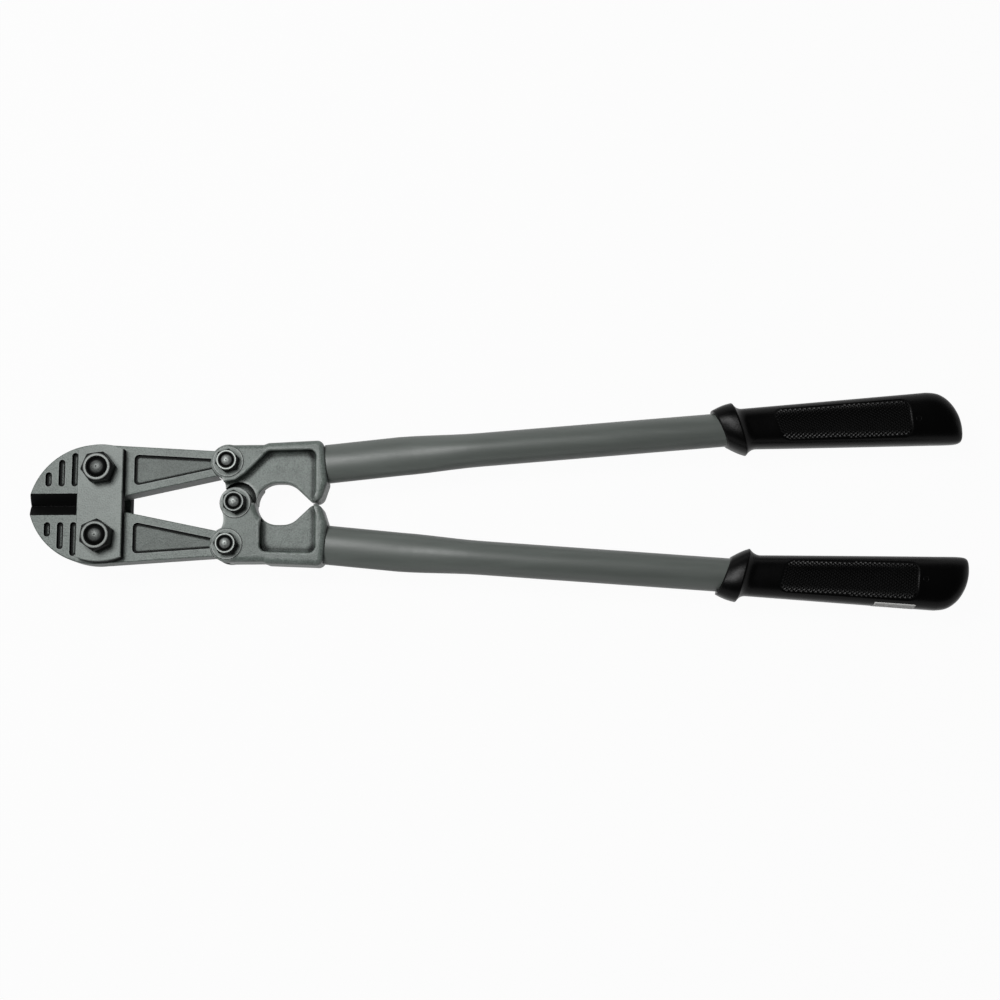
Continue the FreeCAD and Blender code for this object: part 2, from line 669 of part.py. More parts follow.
def tube_axis(x):
    """The height of the handle tube's centre line."""
    start_x, start_y = TUBE_START
    if x <= OVAL_END_X:
        return start_y + (x - start_x) * math.tan(math.radians(OVAL_SLOPE_DEG))
    return tube_axis(OVAL_END_X) + (x - OVAL_END_X) * math.tan(math.radians(TUBE_SLOPE_DEG))


def tube_section(x, inset):
    """A section of the tube square to its centre line, inset from its outside."""
    blend = tube_blend(x)
    height = OVAL_HEIGHT + (TUBE_OUTER - OVAL_HEIGHT) * blend
    depth = OVAL_DEPTH + (TUBE_OUTER - OVAL_DEPTH) * blend
    slope_deg = OVAL_SLOPE_DEG + (TUBE_SLOPE_DEG - OVAL_SLOPE_DEG) * blend
    if height - depth > 1e-6:
        curve = Part.Ellipse(vec(0, 0), height / 2.0 - inset, depth / 2.0 - inset)
    else:
        curve = Part.Circle(vec(0, 0), vec(0, 0, 1), height / 2.0 - inset)
    wire = Part.Wire([curve.toShape()])
    wire.rotate(vec(0, 0), vec(0, 0, 1), 90.0)
    wire.rotate(vec(0, 0), vec(0, 1, 0), 90.0)
    wire.rotate(vec(0, 0), vec(0, 0, 1), slope_deg)
    wire.translate(vec(x, tube_axis(x)))
    return wire


def tube_solid(inset):
    """The handle tube's outer shape, or its bore when inset by the wall."""
    span = ROUND_START_X - OVAL_END_X
    places = [TUBE_START[0]]
    places += [OVAL_END_X + span * step / BLEND_STEPS for step in range(BLEND_STEPS + 1)]
    places += [TUBE_END_X]
    return Part.makeLoft([tube_section(x, inset) for x in places], True, True)


def upper_tube():
    """The handle tube: flattened where it grips the iron's tang, then round."""
    return tube_solid(0.0).cut(tube_solid(TUBE_WALL))


def tang():
    """The iron's oval tang inside the flattened end of the tube."""
    inset = TUBE_WALL + THREAD_GAP
    places = (TUBE_START[0] - TANG_ROOT, TUBE_START[0] + TANG_LENGTH)
    return Part.makeLoft([tube_section(x, inset) for x in places], True, True)


def iron():
    """The upper handle iron: ears, back lap, ribs, recesses and tang."""
    far_x, far_y, side = pivot_travel()
    body = iron_blank()
    body = body.cut(recess_cutter(nut_side_recess()))
    body = body.cut(hole_edge_cutter(nut_side_recess()))
    body = body.cut(flipped(recess_cutter(head_side_recess())))
    body = body.cut(flipped(hole_edge_cutter(head_side_recess())))
    relief = stadium(0, 0, far_x, far_y, LAP_RADIUS + side + SWEEP_GAP,
                     -FACE_GAP, IRON_HALF + MARGIN)
    body = body.cut(relief)
    lap = disc(0, 0, LAP_RADIUS, -IRON_HALF, -FACE_GAP)
    body = body.fuse(lap)
    for pad_z in (IRON_HALF, -PAD_FACE):
        pad = disc(LINK_PIVOT_X, LINK_PIVOT_Y, PAD_RADIUS, pad_z, pad_z + PAD_HEIGHT)
        body = body.fuse(pad)
    body = body.fuse(disc(0, 0, PAD_RADIUS, -PAD_FACE, -IRON_HALF))
    body = body.fuse(tang()).removeSplitter()
    body = body.cut(clevis_slot())
    body = body.cut(disc(LINK_PIVOT_X, LINK_PIVOT_Y, LINK_BOLT_RADIUS + RUNNING_FIT,
                         -IRON_THICK, IRON_THICK))
    return body


def upper_iron():
    """The upper iron, its lap slotted for the centre bolt that the lower iron carries."""
    far_x, far_y, side = pivot_travel()
    slot = stadium(0, 0, far_x, far_y, LINK_BOLT_RADIUS + side + SWEEP_GAP,
                   -IRON_THICK, IRON_THICK)
    return iron().cut(slot)


def lower_iron():
    """The lower iron, its lap bored to carry the centre bolt."""
    bore = disc(0, 0, LINK_BOLT_RADIUS + RUNNING_FIT, -IRON_THICK, IRON_THICK)
    return half_turned(iron()).cut(bore)


# ---------------------------------------------------------------- grips
def grip_section(station):
    """A squarish oval across the grip, in the upright plane through its outer and inner points."""
    outer, inner, half_depth = station
    centre = (vec(*outer) + vec(*inner)) * 0.5
    across = (vec(*outer) - vec(*inner)) * 0.5
    power = 2.0 / GRIP_SQUARENESS
    points = []
    for index in range(GRIP_SECTION_POINTS):
        angle = 2.0 * math.pi * index / GRIP_SECTION_POINTS
        side = math.copysign(abs(math.cos(angle)) ** power, math.cos(angle))
        rise = math.copysign(abs(math.sin(angle)) ** power, math.sin(angle))
        points.append(centre + across * side + vec(0, 0, half_depth * rise))
    curve = Part.BSplineCurve()
    curve.interpolate(points, PeriodicFlag=True)
    return Part.Wire([curve.toShape()])


def upper_grip():
    """The moulded grip: slanting collar, flared body and rounded end, bored for the tube."""
    lip, crest, neck = [grip_section(s) for s in (COLLAR_LIP, COLLAR_CREST, GRIP_NECK)]
    collar = Part.makeLoft([lip, crest], True, True)
    saddle = Part.makeLoft([crest, neck], True, True)
    body = Part.makeLoft([grip_section(s) for s in (GRIP_NECK, GRIP_MIDDLE, GRIP_HEEL)], True, True)
    end = Part.makeLoft([grip_section(s) for s in (GRIP_HEEL, GRIP_END, GRIP_TIP)], True, True)
    whole = collar.fuse([saddle, body, end])
    slope = math.radians(TUBE_SLOPE_DEG)
    along = vec(math.cos(slope), math.sin(slope))
    start_x = COLLAR_LIP[0][0] - MARGIN
    length = (TUBE_END_X - start_x) / math.cos(slope) + RUNNING_FIT
    bore = Part.makeCylinder(TUBE_OUTER / 2.0 + RUNNING_FIT, length,
                             vec(start_x, tube_axis(start_x)), along)
    return whole.cut(bore)


# ---------------------------------------------------------------- assembly
def assembly():
    """Every node by name, in the construction frame."""
    nodes = {
        "front_strap": strap(),
        "rear_strap": half_turned(strap()),
        "upper_jaw": upper_jaw(),
        "lower_jaw": half_turned(upper_jaw()),
        "upper_handle_iron": upper_iron(),
        "lower_handle_iron": lower_iron(),
        "upper_tube": upper_tube(),
        "lower_tube": half_turned(upper_tube()),
        "upper_grip": upper_grip(),
        "lower_grip": half_turned(upper_grip()),
        "centre_washer": centre_washer(),
        "centre_bolt": link_bolt(-PAD_FACE - CENTRE_WASHER_THICK),
        "centre_nut": link_nut(CENTRE_NUT_TURN_DEG),
    }
    sides = zip(("upper", "lower"), (1, -1), STRAP_NUT_TURNS_DEG, LINK_NUT_TURNS_DEG)
    for name, side, strap_turn, link_turn in sides:
        jaw_place = vec(JAW_PIVOT_X, side * JAW_PIVOT_Y)
        link_place = vec(LINK_PIVOT_X, side * LINK_PIVOT_Y)
        nodes[name + "_strap_bolt"] = strap_bolt().translated(jaw_place)
        nodes[name + "_strap_nut"] = strap_nut(strap_turn).translated(jaw_place)
        nodes[name + "_link_bolt"] = link_bolt(-PAD_FACE).translated(link_place)
        nodes[name + "_link_nut"] = link_nut(link_turn).translated(link_place)
    return nodes


def main():
    """Place the assembly on its origin and write one STEP file per node."""
    os.makedirs("parts", exist_ok=True)
    nodes = assembly()
    box = Part.makeCompound(list(nodes.values())).optimalBoundingBox(False, False)
    shift = vec(-box.Center.x, -box.Center.y, -box.ZMin)
    for name, shape in nodes.items():
        shape.translated(shift).exportStep("parts/%s.step" % name)
    print("shift", round(shift.x, 4), round(shift.y, 4), round(shift.z, 4))
    print("size", round(box.XLength, 3), round(box.YLength, 3), round(box.ZLength, 3))
    print("open angles: handle %.4f jaw %.4f" % (HANDLE_OPEN_DEG, math.degrees(JAW_OPEN)))


main()
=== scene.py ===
"""Bolt cutters: finishes, moulded grips, checkering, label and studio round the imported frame."""

import logging
import math
from dataclasses import dataclass, field
from enum import Enum
from typing import Dict, List, Optional, Sequence, Tuple, Union

import bpy
from mathutils import Matrix, Vector


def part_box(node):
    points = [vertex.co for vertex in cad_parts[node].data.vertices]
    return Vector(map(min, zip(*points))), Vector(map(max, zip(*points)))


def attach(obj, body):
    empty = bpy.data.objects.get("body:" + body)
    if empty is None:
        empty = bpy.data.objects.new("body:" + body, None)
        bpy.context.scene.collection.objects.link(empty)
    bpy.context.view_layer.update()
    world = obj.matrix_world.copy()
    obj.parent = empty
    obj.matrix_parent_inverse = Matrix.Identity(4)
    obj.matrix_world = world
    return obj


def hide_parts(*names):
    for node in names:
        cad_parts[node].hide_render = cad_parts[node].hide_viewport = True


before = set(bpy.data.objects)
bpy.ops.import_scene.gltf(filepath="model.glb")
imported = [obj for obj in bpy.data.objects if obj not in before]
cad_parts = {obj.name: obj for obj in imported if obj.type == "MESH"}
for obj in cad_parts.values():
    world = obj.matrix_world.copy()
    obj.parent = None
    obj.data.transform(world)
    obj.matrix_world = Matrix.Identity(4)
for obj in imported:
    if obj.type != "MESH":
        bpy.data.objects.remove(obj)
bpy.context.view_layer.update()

LOG = logging.getLogger("bolt_cutters")
MM = 0.001
Pair = Tuple[float, float]
Triple = Tuple[float, float, float]
Colour = Triple
Number = Union[int, float]
WHITE = (1.0, 1.0, 1.0, 1.0)
SMOOTH, GRAINY, CLOUDY = 2.0, 3.0, 4.0  # octaves of noise
CORNER_SAMPLES = 8
FACTOR, FIRST_COLOUR, SECOND_COLOUR, MIXED_COLOUR = 0, 6, 7, 2  # sockets of a Mix node


class Side(Enum):
    """Which half of the tool a piece belongs to."""

    UPPER = 1
    LOWER = -1

    @property
    def word(self) -> str:
        """The side's name as the CAD nodes spell it."""
        return self.name.lower()

    @property
    def handle(self) -> str:
        """The body that this side's handle parts ride on."""
        return self.word + "_handle"


# ------------------------------------------------------------------ shader kit
@dataclass(frozen=True)
class Wire:
    """One output socket of a node, with arithmetic that adds Math nodes."""

    tree: bpy.types.NodeTree
    socket: bpy.types.NodeSocket

    def math(self, operation: str, *others: Union["Wire", Number], first: bool = True) -> "Wire":
        """A Math node on this value.

        Args:
            operation: the Math node's operation.
            others: the other operands.
            first: whether this value is the first operand.

        Returns:
            The node's output.
        """
        operands = (self,) + others if first else others + (self,)
        return add_node(self.tree, "ShaderNodeMath", {"operation": operation},
                        dict(enumerate(operands)))

    def __add__(self, other: Union["Wire", Number]) -> "Wire":
        """The sum."""
        return self.math("ADD", other)

    __radd__ = __add__

    def __mul__(self, other: Union["Wire", Number]) -> "Wire":
        """The product."""
        return self.math("MULTIPLY", other)

    __rmul__ = __mul__

    def __sub__(self, other: Union["Wire", Number]) -> "Wire":
        """The difference."""
        return self.math("SUBTRACT", other)

    def __rsub__(self, other: Number) -> "Wire":
        """The difference from a number."""
        return self.math("SUBTRACT", other, first=False)

    def smooth(self, low: Number, high: Number) -> "Wire":
        """A smooth step from 0 at low to 1 at high."""
        return add_node(self.tree, "ShaderNodeMapRange", {"interpolation_type": "SMOOTHSTEP"},
                        {"Value": self, "From Min": low, "From Max": high}, "Result")


def add_node(tree: bpy.types.NodeTree, kind: str, settings: Optional[Dict[str, object]] = None,
             links: Optional[Dict[Union[str, int], object]] = None,
             out: Union[str, int] = 0) -> Wire:
    """Add any shader node.

    Args:
        tree: the tree it goes in.
        kind: the node's type.
        settings: its properties, set first.
        links: values or wires for its input sockets.
        out: the output socket wanted.

    Returns:
        That output.
    """
    node = tree.nodes.new(kind)
    for key, value in (settings or {}).items():
        setattr(node, key, value)
    for key, value in (links or {}).items():
        feed(tree, node.inputs[key], value)
    return Wire(tree, node.outputs[out])


def feed(tree: bpy.types.NodeTree, socket: bpy.types.NodeSocket, value: object) -> None:
    """Link a wire to an input socket, or set the socket's own value.

    Args:
        tree: the tree of the socket's node.
        socket: the input socket.
        value: a wire, or the value to set.
    """
    if isinstance(value, Wire):
        tree.links.new(value.socket, socket)
    else:
        socket.default_value = value


def seeing_rays(tree: bpy.types.NodeTree) -> Wire:
    """Which rays see the background, as against those that carry light.

    Args:
        tree: the tree the nodes go in.

    Returns:
        1 for camera, glossy and transmission rays, 0 for the others.
    """
    camera, glossy, clear = [add_node(tree, "ShaderNodeLightPath", out=name) for name in
                             ("Is Camera Ray", "Is Glossy Ray", "Is Transmission Ray")]
    return camera.math("MAXIMUM", glossy).math("MAXIMUM", clear)


class Shader:
    """A material being wired: one Principled shader and the nodes that feed it."""

    def __init__(self, name: str) -> None:
        """Start an empty material.

        Args:
            name: the material's name.
        """
        self.material = bpy.data.materials.new(name)
        self.material.use_nodes = True
        self.tree = self.material.node_tree
        self.tree.nodes.clear()
        self.output = self.tree.nodes.new("ShaderNodeOutputMaterial")
        self.principled = self.tree.nodes.new("ShaderNodeBsdfPrincipled")
        self.surface = Wire(self.tree, self.principled.outputs[0])
        self.show(self.surface)

    def node(self, kind: str, settings: Optional[Dict[str, object]] = None,
             links: Optional[Dict[Union[str, int], object]] = None,
             out: Union[str, int] = 0) -> Wire:
        """Add any node to this material, as add_node does."""
        return add_node(self.tree, kind, settings, links, out)

    def show(self, surface: Wire) -> None:
        """Make a shader's output the material's surface."""
        self.tree.links.new(surface.socket, self.output.inputs["Surface"])

    def place(self) -> Wire:
        """Object coordinates."""
        return self.node("ShaderNodeTexCoord", out="Object")

    def axis(self, name: str) -> Wire:
        """One of the object coordinates, X, Y or Z."""
        return self.node("ShaderNodeSeparateXYZ", links={0: self.place()}, out=name)

    def noise(self, scale: float, detail: float, stretch: Triple = (1.0, 1.0, 1.0)) -> Wire:
        """Noise on object coordinates.

        Args:
            scale: cells in a metre.
            detail: octaves.
            stretch: factors on the three axes.

        Returns:
            The noise, about 0 to 1.
        """
        place = self.node("ShaderNodeMapping", links={"Vector": self.place(), "Scale": stretch})
        return self.node("ShaderNodeTexNoise",
                         links={"Vector": place, "Scale": scale, "Detail": detail})

    def nearness(self, reach: float, inside: bool = False) -> Wire:
        """How closed in a place is by the piece's own shape.

        Args:
            reach: how far round it counts, in metres.
            inside: look into the piece, to find outer edges, rather than out for corners.

        Returns:
            0 on an open flat, towards 1 in a corner or on an edge.
        """
        return 1.0 - self.node("ShaderNodeAmbientOcclusion",
                               {"only_local": True, "inside": inside,
                                "samples": CORNER_SAMPLES}, {"Distance": reach}, out="AO")

    def blend(self, factor: Union[Wire, Number], first: Union[Wire, Colour],
              second: Union[Wire, Colour]) -> Wire:
        """A colour between two others.

        Args:
            factor: 0 for the first colour, 1 for the second.
            first: the first colour.
            second: the second colour.

        Returns:
            The blended colour.
        """
        ends = [end if isinstance(end, Wire) else (*end, 1.0) for end in (first, second)]
        return self.node("ShaderNodeMix", {"data_type": "RGBA"}, {
            FACTOR: factor, FIRST_COLOUR: ends[0], SECOND_COLOUR: ends[1]}, MIXED_COLOUR)

    def bump(self, height: Wire, distance: float, under: Optional[Wire] = None) -> Wire:
        """A bumped normal.

        Args:
            height: the bump's height, 0 to 1.
            distance: how deep that is, in metres.
            under: another bumped normal that it lies over.

        Returns:
            The normal.
        """
        links: Dict[Union[str, int], object] = {
            "Height": height, "Distance": distance, "Strength": 1.0}
        if under is not None:
            links["Normal"] = under
        return self.node("ShaderNodeBump", links=links)

    def radius(self, centre: Pair) -> Wire:
        """Distance from an upright axis.

        Args:
            centre: the axis's place along X and Y, in metres.

        Returns:
            The distance, in metres.
        """
        away_x = self.axis("X") - centre[0]
        away_y = self.axis("Y") - centre[1]
        return (away_x * away_x + away_y * away_y).math("SQRT")

    def upright(self) -> Wire:
        """The height part of the surface's own normal: 1 facing up, 0 on a wall."""
        normal = self.node("ShaderNodeNewGeometry", out="True Normal")
        return self.node("ShaderNodeSeparateXYZ", links={0: normal}, out="Z")

    def matte_over(self, mask: Wire, colour: Colour, roughness: float, specular: float) -> None:
        """Lay a matte finish over the surface.

        Args:
            mask: 1 where the finish covers the surface, 0 where it leaves it bare.
            colour: the finish's colour.
            roughness: its roughness.
            specular: its specular level.
        """
        top = self.node("ShaderNodeBsdfPrincipled", links={
            "Base Color": (*colour, 1.0), "Roughness": roughness, "Specular IOR Level": specular})
        self.show(self.node("ShaderNodeMixShader", links={0: mask, 1: self.surface, 2: top}))

    def finish(self, **sockets: object) -> bpy.types.Material:
        """Feed the Principled shader.

        Args:
            sockets: a wire, number or colour for each socket, with underscores for spaces.

        Returns:
            The finished material.
        """
        for key, value in sockets.items():
            name = key.replace("_", " ")
            if name == "Base Color" and not isinstance(value, Wire):
                value = (*value, 1.0)
            feed(self.tree, self.principled.inputs[name], value)
        return self.material


# ------------------------------------------------------------------ finishes
@dataclass(frozen=True)
class CastPaint:
    """Grey satin paint over a forged or rolled skin, with painted shade in corners, and edges
    lightened as worn paint and painted highlight.
    """

    name: str
    colour: Colour
    dark: Colour
    # Colour of the lightened edges: worn paint and painted highlight.
    worn: Colour = (0.36, 0.385, 0.37)
    grain: float = 1050.0
    broad_ratio: float = 6.0
    cloud: float = 60.0
    shares: Triple = (0.60, 0.15, 0.25)
    tone_range: Pair = (0.34, 0.66)
    grain_depth: float = 0.00030
    wave_depth: float = 0.00030
    roughness: float = 0.46
    rough_spread: float = 0.16
    # Reach, range and depth of the painted shade laid in corners and hollows.
    corner_reach: float = 3.0 * MM
    corner_range: Pair = (0.05, 0.22)
    corner_depth: float = 0.96
    edge_reach: float = 0.9 * MM
    edge_range: Pair = (0.06, 0.42)
    patch_range: Pair = (0.28, 0.50)
    edge_wear_and_highlight: float = 0.8
    # Matte black laid over as painted shade, and the blackened bevel's own colour.
    black: Colour = (0.0016, 0.0017, 0.0016)
    black_roughness: float = 0.75
    black_specular: float = 0.10
    # Painted shade: upright walls laid over with matte black.
    painted_shade_walls: bool = False
    wall_range: Pair = (0.15, 0.55)
    # The pockets' painted shade: middle height and half depth, darkness and blur.
    sunk: Optional[Pair] = None
    sunk_shade: float = 0.26
    sunk_blur: float = MM
    bevel: Optional[Triple] = None
    bevel_waver: float = 0.0003
    bevel_blur: Pair = (0.0004, 0.00025)

    def make(self) -> bpy.types.Material:
        """Build the material.

        Returns:
            The material.
        """
        shader = Shader(self.name)
        fine = shader.noise(self.grain, GRAINY)
        broad = shader.noise(self.grain / self.broad_ratio, GRAINY)
        cloud = shader.noise(self.cloud, CLOUDY)
        tone = fine * self.shares[0] + broad * self.shares[1] + cloud * self.shares[2]
        paint = shader.blend(tone.smooth(*self.tone_range), self.dark, self.colour)
        # Outer edges lightened in patches: partly worn paint, partly painted highlight.
        edges = shader.nearness(self.edge_reach, inside=True).smooth(*self.edge_range)
        edges = edges * broad.smooth(*self.patch_range) * self.edge_wear_and_highlight
        paint = shader.blend(edges, paint, self.worn)
        # Painted shade in corners of the piece's own shape, then the blackened bevel, all laid
        # over in matte black.
        painted_shade_and_bevel = shader.nearness(self.corner_reach).smooth(*self.corner_range) * self.corner_depth
        if self.bevel is not None:
            painted_shade_and_bevel = painted_shade_and_bevel.math("MAXIMUM", self.bevel_mask(shader, fine))
        # Painted shade: the pockets below the faces darkened.
        if self.sunk is not None:
            middle, half = self.sunk
            off = (shader.axis("Z") - middle).math("ABSOLUTE")
            deep = 1.0 - off.smooth(half - self.sunk_blur, half)
            painted_shade_and_bevel = painted_shade_and_bevel.math("MAXIMUM", deep * self.sunk_shade)
        # Painted shade: upright walls laid over with matte black.
        if self.painted_shade_walls:
            walls = 1.0 - shader.upright().math("ABSOLUTE").smooth(*self.wall_range)
            painted_shade_and_bevel = painted_shade_and_bevel.math("MAXIMUM", walls)
        shader.matte_over(painted_shade_and_bevel, self.black, self.black_roughness, self.black_specular)
        under = shader.bump(broad, self.wave_depth)
        rough = fine * self.rough_spread + (self.roughness - self.rough_spread / 2.0)
        return shader.finish(Base_Color=paint, Roughness=rough,
                             Normal=shader.bump(fine, self.grain_depth, under=under))

    def bevel_mask(self, shader: Shader, fine: Wire) -> Wire:
        """Where the blackened cutting bevel is: near the cutting line, left of its end.

        Args:
            shader: the material being wired.
            fine: the grain, which roughens the bevel's border.

        Returns:
            1 on the bevel, 0 off it.
        """
        line_y, half_width, end_x = self.bevel
        blur_x, blur_y = self.bevel_blur
        away = (shader.axis("Y") - line_y).math("ABSOLUTE") + fine * self.bevel_waver
        near = 1.0 - away.smooth(half_width, half_width + blur_y)
        return near * (1.0 - shader.axis("X").smooth(end_x, end_x + blur_x))


@dataclass(frozen=True)
class TubePaint:
    """Smooth satin paint on drawn tube."""

    name: str
    colour: Colour
    dark_share: float = 0.86
    drawn: float = 160.0
    drawn_stretch: Triple = (0.12, 1.0, 1.0)
    drawn_range: Pair = (0.35, 0.7)
    drawn_depth: float = 0.00012
    peel: float = 420.0
    peel_depth: float = 0.00003
    roughness: float = 0.42
    rough_spread: float = 0.10

    def make(self) -> bpy.types.Material:
        """Build the material.

        Returns:
            The material.
        """
        shader = Shader(self.name)
        drawn = shader.noise(self.drawn, GRAINY, self.drawn_stretch)
        peel = shader.noise(self.peel, SMOOTH)
        dark = tuple(channel * self.dark_share for channel in self.colour)
        paint = shader.blend(drawn.smooth(*self.drawn_range), dark, self.colour)
        rough = peel * self.rough_spread + (self.roughness - self.rough_spread / 2.0)
        under = shader.bump(drawn, self.drawn_depth)
        return shader.finish(Base_Color=paint, Roughness=rough,
                             Normal=shader.bump(peel, self.peel_depth, under=under))


@dataclass(frozen=True)
class TurnedSteel:
    """Dark steel hexagon with a bright rim about its own axis: partly turned metal, partly painted
    highlight.
    """

    name: str
    centre: Pair
    rim: Pair
    shine: Colour
    dark: Colour = (0.014, 0.015, 0.0145)
    rim_blur: float = 0.00035
    flat_range: Pair = (0.15, 0.45)
    grain: float = 1300.0
    grain_depth: float = 0.00005
    rub_range: Pair = (0.15, 0.45)
    rub_least: float = 0.6
    metallic: float = 0.9
    roughness: float = 0.42
    rough_spread: float = 0.10
    rub_gloss: float = 0.12

    def make(self) -> bpy.types.Material:
        """Build the material.

        Returns:
            The material.
        """
        shader = Shader(self.name)
        radius = shader.radius(self.centre)
        inner, outer = self.rim
        blur = self.rim_blur
        # The rim on the upward flats between two radii, lightened in rubbed patches: partly turned
        # and worn metal, partly painted highlight.
        rim = radius.smooth(inner - blur, inner + blur)
        rim = rim * (1.0 - radius.smooth(outer - blur, outer + blur))
        rim = rim * shader.upright().smooth(*self.flat_range)
        fine = shader.noise(self.grain, GRAINY)
        rub = fine.smooth(*self.rub_range) * (1.0 - self.rub_least) + self.rub_least
        worn = rim * rub
        colour = shader.blend(worn, self.dark, self.shine)
        rough = self.roughness - worn * self.rub_gloss + fine * self.rough_spread
        return shader.finish(Base_Color=colour, Metallic=self.metallic, Roughness=rough,
                             Normal=shader.bump(fine, self.grain_depth))


@dataclass(frozen=True)
class PlainSteel:
    """Fine-grained blackened steel; on bolts, a core about an axis above a height is painted
    highlight, and the rest painted shade in plain black.
    """

    name: str
    centre: Pair = (0.0, 0.0)
    core: float = 0.0
    bright_above: float = 0.0
    black: Colour = (0.012, 0.013, 0.0125)
    plain_lift: float = 6.0
    tip_highlight: Colour = (0.30, 0.32, 0.31)
    dull_share: float = 0.6
    dull_range: Pair = (0.3, 0.7)
    core_blur: float = 0.55 * MM
    grain: float = 1100.0
    grain_depth: float = 0.00005
    metallic: float = 0.9
    roughness: float = 0.50
    rough_spread: float = 0.14

    def make(self) -> bpy.types.Material:
        """Build the material.

        Returns:
            The material.
        """
        shader = Shader(self.name)
        fine = shader.noise(self.grain, GRAINY)
        colour: Union[Wire, Colour] = tuple(channel * self.plain_lift for channel in self.black)
        # Painted highlight in the core of the bolt's tip, painted shade in plain black round it
        # and below.
        if self.core:
            scuffed = shader.radius(self.centre) + (fine - 0.5) * MM
            core = 1.0 - scuffed.smooth(self.core - self.core_blur, self.core + self.core_blur)
            core = core * shader.axis("Z").smooth(self.bright_above - MM, self.bright_above + MM)
            dull = tuple(channel * self.dull_share for channel in self.tip_highlight)
            tip_highlight = shader.blend(fine.smooth(*self.dull_range), dull, self.tip_highlight)
            colour = shader.blend(core, self.black, tip_highlight)
        rough = fine * self.rough_spread + (self.roughness - self.rough_spread / 2.0)
        return shader.finish(Base_Color=colour, Metallic=self.metallic, Roughness=rough,
                             Normal=shader.bump(fine, self.grain_depth))


@dataclass(frozen=True)
class MouldedBlack:
    """Black moulded vinyl with a fine skin."""

    name: str
    colour: Colour = (0.0009, 0.0009, 0.00095)
    grey_ratio: float = 1.9
    skin: float = 900.0
    skin_depth: float = 0.00006
    handled: float = 38.0
    handled_range: Pair = (0.45, 0.75)
    handled_depth: float = 0.0002
    roughness: float = 0.33
    rough_spread: Pair = (0.10, 0.12)
    specular: float = 0.11

    def make(self) -> bpy.types.Material:
        """Build the material.

        Returns:
            The material.
        """
        shader = Shader(self.name)
        skin = shader.noise(self.skin, GRAINY)
        handled = shader.noise(self.handled, CLOUDY)
        grey = tuple(channel * self.grey_ratio for channel in self.colour)
        colour = shader.blend(handled.smooth(*self.handled_range), self.colour, grey)
        skin_share, handled_share = self.rough_spread
        rough = skin * skin_share + handled * handled_share
        rough = rough + (self.roughness - (skin_share + handled_share) / 2.0)
        under = shader.bump(handled, self.handled_depth)
        return shader.finish(Base_Color=colour, Roughness=rough, Specular_IOR_Level=self.specular,
                             Normal=shader.bump(skin, self.skin_depth, under=under))


@dataclass(frozen=True)
class PaperWhite:
    """Plain white label paper."""

    name: str
    colour: Colour = (0.82, 0.82, 0.80)
    faint_share: float = 0.93
    fibre: float = 2200.0
    fibre_depth: float = 0.00002
    roughness: float = 0.5
    rough_spread: float = 0.1

    def make(self) -> bpy.types.Material:
        """Build the material.

        Returns:
            The material.
        """
        shader = Shader(self.name)
        fibre = shader.noise(self.fibre, GRAINY)
        faint = tuple(channel * self.faint_share for channel in self.colour)
        colour = shader.blend(fibre, faint, self.colour)
        return shader.finish(Base_Color=colour, Normal=shader.bump(fibre, self.fibre_depth),
                             Roughness=fibre * self.rough_spread + self.roughness)


# ------------------------------------------------------------------ mesh helpers
def mesh_object(name: str, points: Sequence[Vector], faces: Sequence[Sequence[int]],
                smooth: bool = True) -> bpy.types.Object:
    """A mesh object at the origin.

    Args:
        name: its name.
        points: vertex places in the frame, in metres.
        faces: vertex indices, outward.
        smooth: whether faces are shaded smooth.

    Returns:
        The linked object.
    """
    mesh = bpy.data.meshes.new(name)
    mesh.from_pydata([tuple(point) for point in points], [], [tuple(face) for face in faces])
    mesh.validate()
    for polygon in mesh.polygons:
        polygon.use_smooth = smooth
    mesh.update()
    piece = bpy.data.objects.new(name, mesh)
    bpy.context.scene.collection.objects.link(piece)
    return piece


def applied(piece: bpy.types.Object) -> bpy.types.Object:
    """Turn a piece's modifiers into plain mesh.

    Args:
        piece: the piece.

    Returns:
        The same piece.
    """
    depsgraph = bpy.context.evaluated_depsgraph_get()
    solid = bpy.data.meshes.new_from_object(piece.evaluated_get(depsgraph))
    piece.modifiers.clear()
    piece.data = solid
    return piece


def smooth_step(value: float) -> float:
    """The smooth step of a number clamped to 0 to 1."""
    value = min(max(value, 0.0), 1.0)
    return value * value * (3.0 - 2.0 * value)


def signed_power(value: float, power: float) -> float:
    """A power of a number's size, with the number's sign."""
    return math.copysign(abs(value) ** power, value)


def between(values: Sequence[float], part: float) -> float:
    """A smooth curve through the middle two of four evenly spaced values.

    Args:
        values: the four values.
        part: 0 at the second value, 1 at the third.

    Returns:
        The value there.
    """
    before, start, stop, after = values
    slope_in, slope_out = (stop - before) / 2.0, (after - start) / 2.0
    square, cube = part * part, part * part * part
    first = start * (2.0 * cube - 3.0 * square + 1.0) + slope_in * (cube - 2.0 * square + part)
    return first + stop * (3.0 * square - 2.0 * cube) + slope_out * (cube - square)


